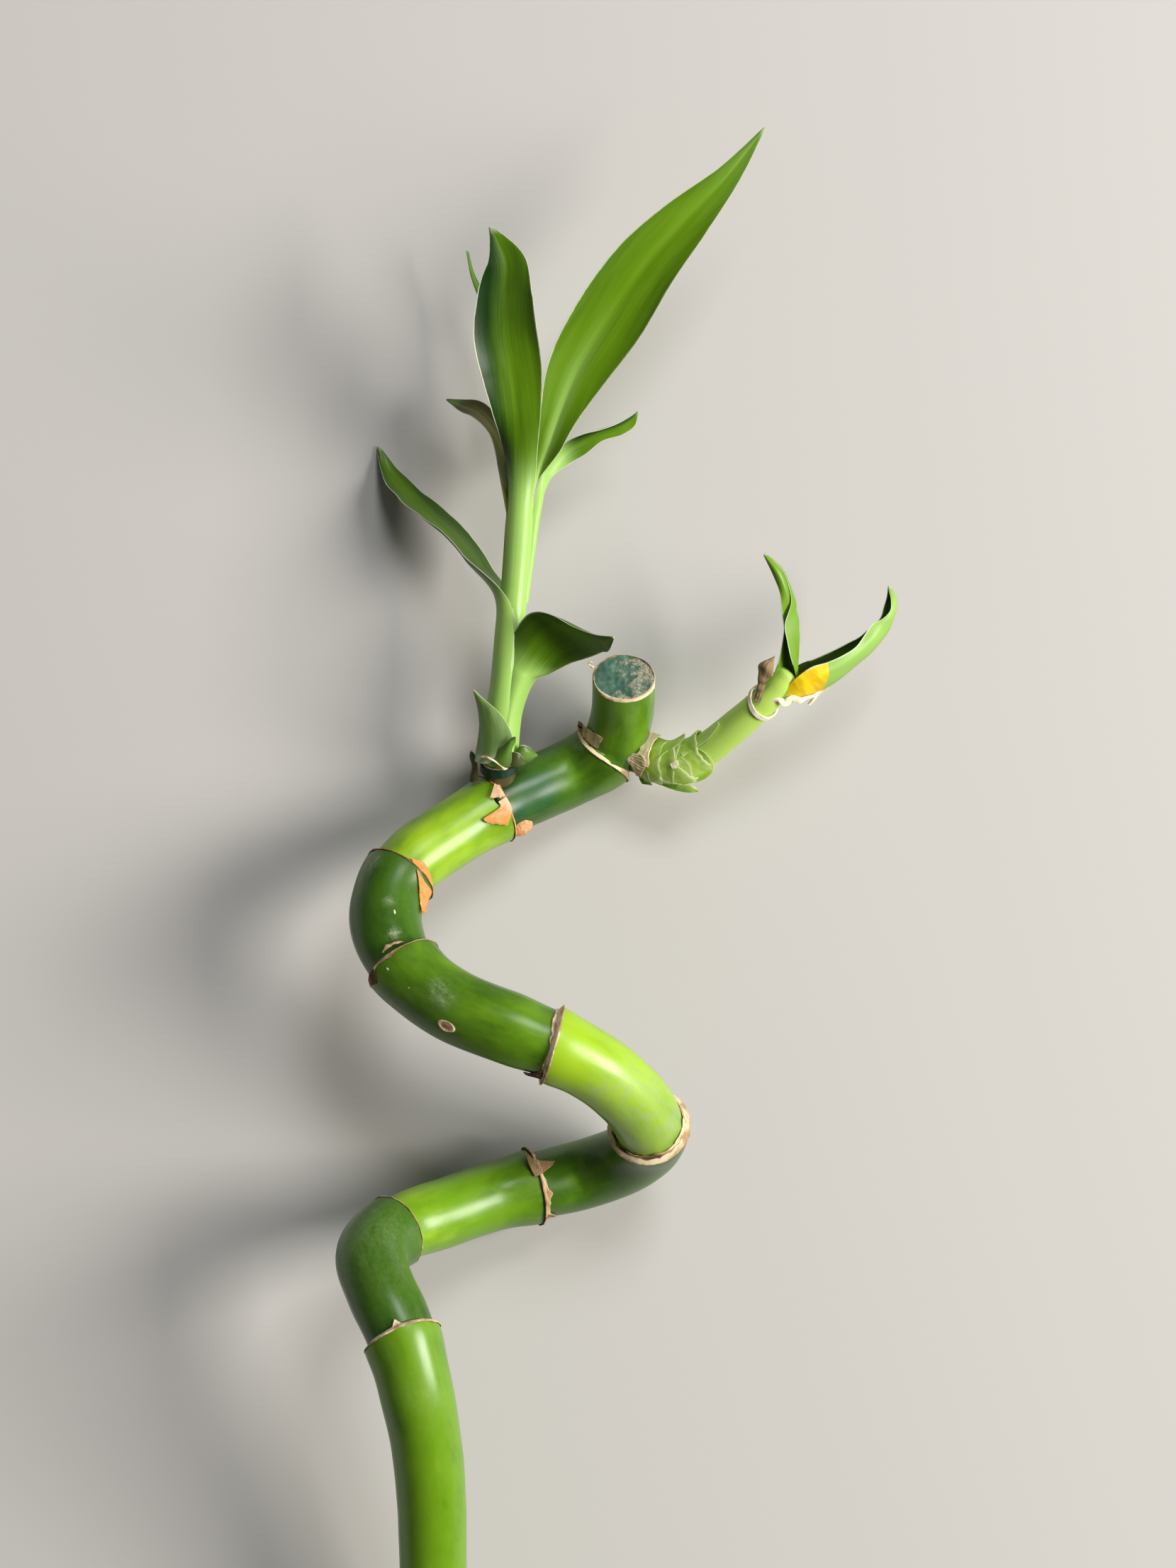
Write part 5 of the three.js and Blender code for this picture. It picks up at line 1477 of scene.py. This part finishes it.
def build_leaf(name, leaf):
    """A leaf or bract, thinner towards its edges, with its colours."""
    grid, along = leaf_grid(leaf)
    seed, slot, lit_side = seed_of(name), leaf.get("slot", "leaf"), leaf.get("lit_side", 0.0)
    v = np.linspace(-1, 1, grid.shape[1])
    width = np.linalg.norm(grid[:, -1] - grid[:, 0], axis=1)[:, None] / 2
    grid = crumpled(grid, leaf.get("waves", 0.0), (1, 3, seed), (0.5, 1.1, seed + 1))
    grid[..., 2] = np.maximum(grid[..., 2], LEAF_CLEAR)
    along = along[:, None]
    far = along / along[-1]
    foot = 1 - smooth((far - leaf["pale"] + 0.10) / 0.20)
    streak = leaf.get("streak", 0) * bell((v + 0.05) / 0.4) * (1 - smooth((far - leaf["pale"]) / 0.4))
    # Painted sheen: the whole leaf paled, more on its lit side
    light = leaf.get("light", 0.0) * (1 + lit_side * v)
    # Painted light: one side of the leaf lighter than the other, a painted highlight on the side facing the
    # light and painted shade on the side turned away
    tone = leaf.get("tone", 0.45) + 0.18 * bell(v / 0.6) + 0.10 * cloud(grid, 22, seed) + lit_side * v
    yellow = yellow_patch(leaf["yellow"], grid, v, seed + 2) if "yellow" in leaf else NO_YELLOW
    sheet_piece(name + "_blade", slot, slot, leaf.get("nodes", [name]), grid,
                LEAF_THICK * (1 - 0.75 * np.abs(v) ** 3),
                flow=flow_of(along, np.maximum(width, 1.2) * v, seed % 17 * 9.0), tone=tone,
                pale=np.clip(np.maximum(foot, streak) + light, 0, 1),
                brown=leaf.get("brown", 0.0) * (1 - smooth((far - 0.8) / 0.08)), yellow=yellow,
                edge=np.maximum(np.abs(v), 0.975 * far) * smooth(far * 6 - 0.5))


# Scraps, scales and strips

def on_top(stem, span, lift, plan):
    """Points over plan [x, y] on the upper side of a stem raised by lift; span is the part of it used."""
    s = np.arange(span[0], span[1], 0.25)
    axis, tangent, _, _ = stem.place(s)
    flat = plan.reshape(-1, 2)
    near = np.argmin(np.sum((flat[:, None] - axis[None, :, :2]) ** 2, -1), 1)
    start, slope = axis[near], tangent[near]
    run = np.linalg.norm(slope[:, :2], axis=1)
    ahead = np.sum((flat - start[:, :2]) * slope[:, :2], -1) / run ** 2
    off = flat - start[:, :2] - slope[:, :2] * ahead[:, None]
    lift = np.broadcast_to(lift, plan.shape[:-1]).ravel()
    high = np.full(len(flat), 5.0)
    for _ in range(3):
        reach = stem.radius(s[near] + ahead + high * slope[:, 2]) + lift
        room = reach ** 2 - np.sum(off ** 2, -1)
        high = np.sqrt((room + np.hypot(room, 1.0)) / 2) / run
    z = start[:, 2] + slope[:, 2] * ahead + high
    return np.column_stack([flat, z]).reshape(*plan.shape[:-1], 3)


def torn_back(flat, rough, seed):
    """A grid of points, torn back unevenly from its last row."""
    rows, columns = flat.shape[:2]
    tear = np.abs(wobble(14 * np.linspace(-1, 1, columns), seed, 4))
    place = shares(rows) * (1 - min(rough, 0.1) * tear) * (rows - 1)
    row, column = np.minimum(place.astype(int), rows - 2), np.arange(columns)
    return flat[row, column] + (flat[row + 1, column] - flat[row, column]) * (place - row)[..., None]


def lay(name, laid):
    """A scrap or scale laid over a stem as the photo shows it."""
    rows, columns = 30, laid.get("columns", 44)
    seed, rough, skin = seed_of(name), laid.get("rough", 0.025), laid["skin"]
    t, v = shares(rows), np.linspace(-1, 1, columns)
    flat = torn_back(woven(laid["lines"], rows, columns), rough, seed)
    low, high = laid["lift"]
    lift = low + (high - low) * t ** 1.5
    kind, joint = laid["at"]
    stem = STEMS[kind]
    middle = stem.joints[joint] if stem.joints else 0.0
    span = (middle - LAID_BEFORE, middle + LAID_AFTER)
    height = np.full((rows, columns), 20.0)
    for _ in range(4):
        grid = on_top(stem, span, lift, seen(np.dstack([flat, height]))[..., :2])
        height = grid[..., 2]
    grid = crumpled(grid, rough, (1, 2.4, seed), (0.6, 0.7, seed + 1))
    grid[..., 2] += laid.get("folds", 0.0) * wobble(22 * v + 2 * wobble(3 * t, seed) + 2.5 * t, seed, 3)
    left = np.linalg.norm(grid - grid[-1:], axis=-1)
    edge = smooth(1.4 - left / laid.get("margin", 0.4))
    size = np.linalg.norm(grid[-1] - grid[0], axis=-1).mean()
    width = np.linalg.norm(grid[:, -1] - grid[:, 0], axis=-1).mean() / 2
    slot = "shoot" if skin == "shoot" else "rim"
    sheet_piece(name, skin, slot, laid.get("nodes", []), grid,
                laid.get("thick", LAID_THICK) * (1 - 0.7 * edge),
                flow=flow_of(size * t, width * v, seed % 13 * 7.0),
                tone=laid["tone"] + laid.get("fade", 0.0) * t, pale=laid.get("pale", 0.0) + pale_edge_and_glow(left),
                edge=0.95 + 0.05 * edge, brown=0.0, yellow=NO_YELLOW)


def build_strip(name, strip):
    """A narrow dry strip along a path, which may curl."""
    line = catmull(seen(strip["path"]), 10)[0]
    point, half = line[:, :3], np.abs(line[:, 3:]) / 2 + 0.05
    across = unit(np.cross(unit(np.gradient(point, axis=0)), [0.25, -0.2, 1]))
    v = np.linspace(-1, 1, 9)
    s = 0.15 * np.arange(len(point))[:, None]
    grid = point[:, None] + across[:, None] * (half * v)[..., None]
    grid[..., 2] += 0.18 * wobble(s * 1.6, 3) * v + 0.12 * np.cos(v * 2)
    sheet_piece(name, "ivory", "dry_leaf", [], grid, strip["thick"],
                flow=flow_of(s, v * 0.6, 0.0), tone=strip["tone"] + 0.2 * wobble(s, 8))


# The scene

def area_light(name, place, aim, size, power, colour):
    lamp = bpy.data.lights.new(name, "AREA")
    lamp.shape = "RECTANGLE"
    lamp.size, lamp.size_y = size
    lamp.energy = power
    lamp.color = colour
    made = new_object(name, lamp)
    made.location = place
    made.rotation_euler = (Vector(aim) - Vector(place)).to_track_quat("-Z", "Y").to_euler()


def build_floor():
    mesh = bpy.data.meshes.new("floor")
    far = 2.5
    mesh.from_pydata([(-far, -far, 0), (far, -far, 0), (far, far, 0), (-far, far, 0)], [], [(0, 1, 2, 3)])
    paint = Paint("floor_paint", Roughness=0.7)
    noise = paint.add("TexNoise", {"Scale": 3.0}).outputs["Fac"]
    colour = paint.ramp(noise, (0.3, (0.56, 0.54, 0.52)), (0.7, (0.58, 0.56, 0.54)))
    mesh.materials.append(paint.finish(Base_Color=colour))
    new_object("floor", mesh)


def build_lights():
    world = bpy.data.worlds.new("studio")
    bpy.context.scene.world = world
    world.use_nodes = True
    background = world.node_tree.nodes["Background"]
    background.inputs["Color"].default_value = (1.0, 0.98, 0.95, 1)
    background.inputs["Strength"].default_value = 0.07
    area_light("key", (1.30, 0.05, 0.92), (0, 0.03, 0.02), (0.75, 0.75), 37, (1.0, 0.97, 0.91))
    area_light("top", (0.46, 1.00, 1.32), (-0.01, 0.0, 0.02), (0.60, 0.50), 11.5, (0.96, 0.98, 1.0))
    area_light("fill", (-0.7, -0.2, 0.7), (0, 0.03, 0.02), (0.6, 0.6), 0.12, (0.95, 0.97, 1.0))


def build_camera():
    data = bpy.data.cameras.new("camera")
    data.lens = LENS
    data.sensor_width = SENSOR
    data.sensor_fit = "AUTO"
    data.clip_end = 20
    camera = new_object("camera", data)
    camera.location = [value * MM for value in CAMERA]
    bpy.context.scene.camera = camera


build_floor()
build_lights()
build_camera()
bpy.context.scene.view_settings.view_transform = "Standard"

build_cane()
for index, rim in enumerate(RIMS):
    for layer in range(rim.get("layers", 1)):
        build_rim(index, rim, layer)
build_seal()
build_cut_edge()
build_bud()

build_shoot("main_shoot", main_stem, "main_stem", 0.6, 0.7)
for name, collar in MAIN_COLLARS.items():
    build_collar(name, main_stem, collar)
for name, leaf in {**LEAVES, **ROW_LEAVES}.items():
    build_leaf(name, leaf)
for name, strip in STRIPS.items():
    build_strip(name, strip)
for name, mark in MARKS.items():
    build_mark(name, *mark)

build_shoot("side_shoot", side_stem, "side_stem", 1.0, 0.45)
for name, collar in SIDE_COLLARS.items():
    build_collar(name, side_stem, collar)
for index, scale in enumerate(SIDE_SCALES):
    build_scale(f"side_scale_{index + 1}", scale, 20 + index)
for name, laid in LAID.items():
    lay(name, laid)
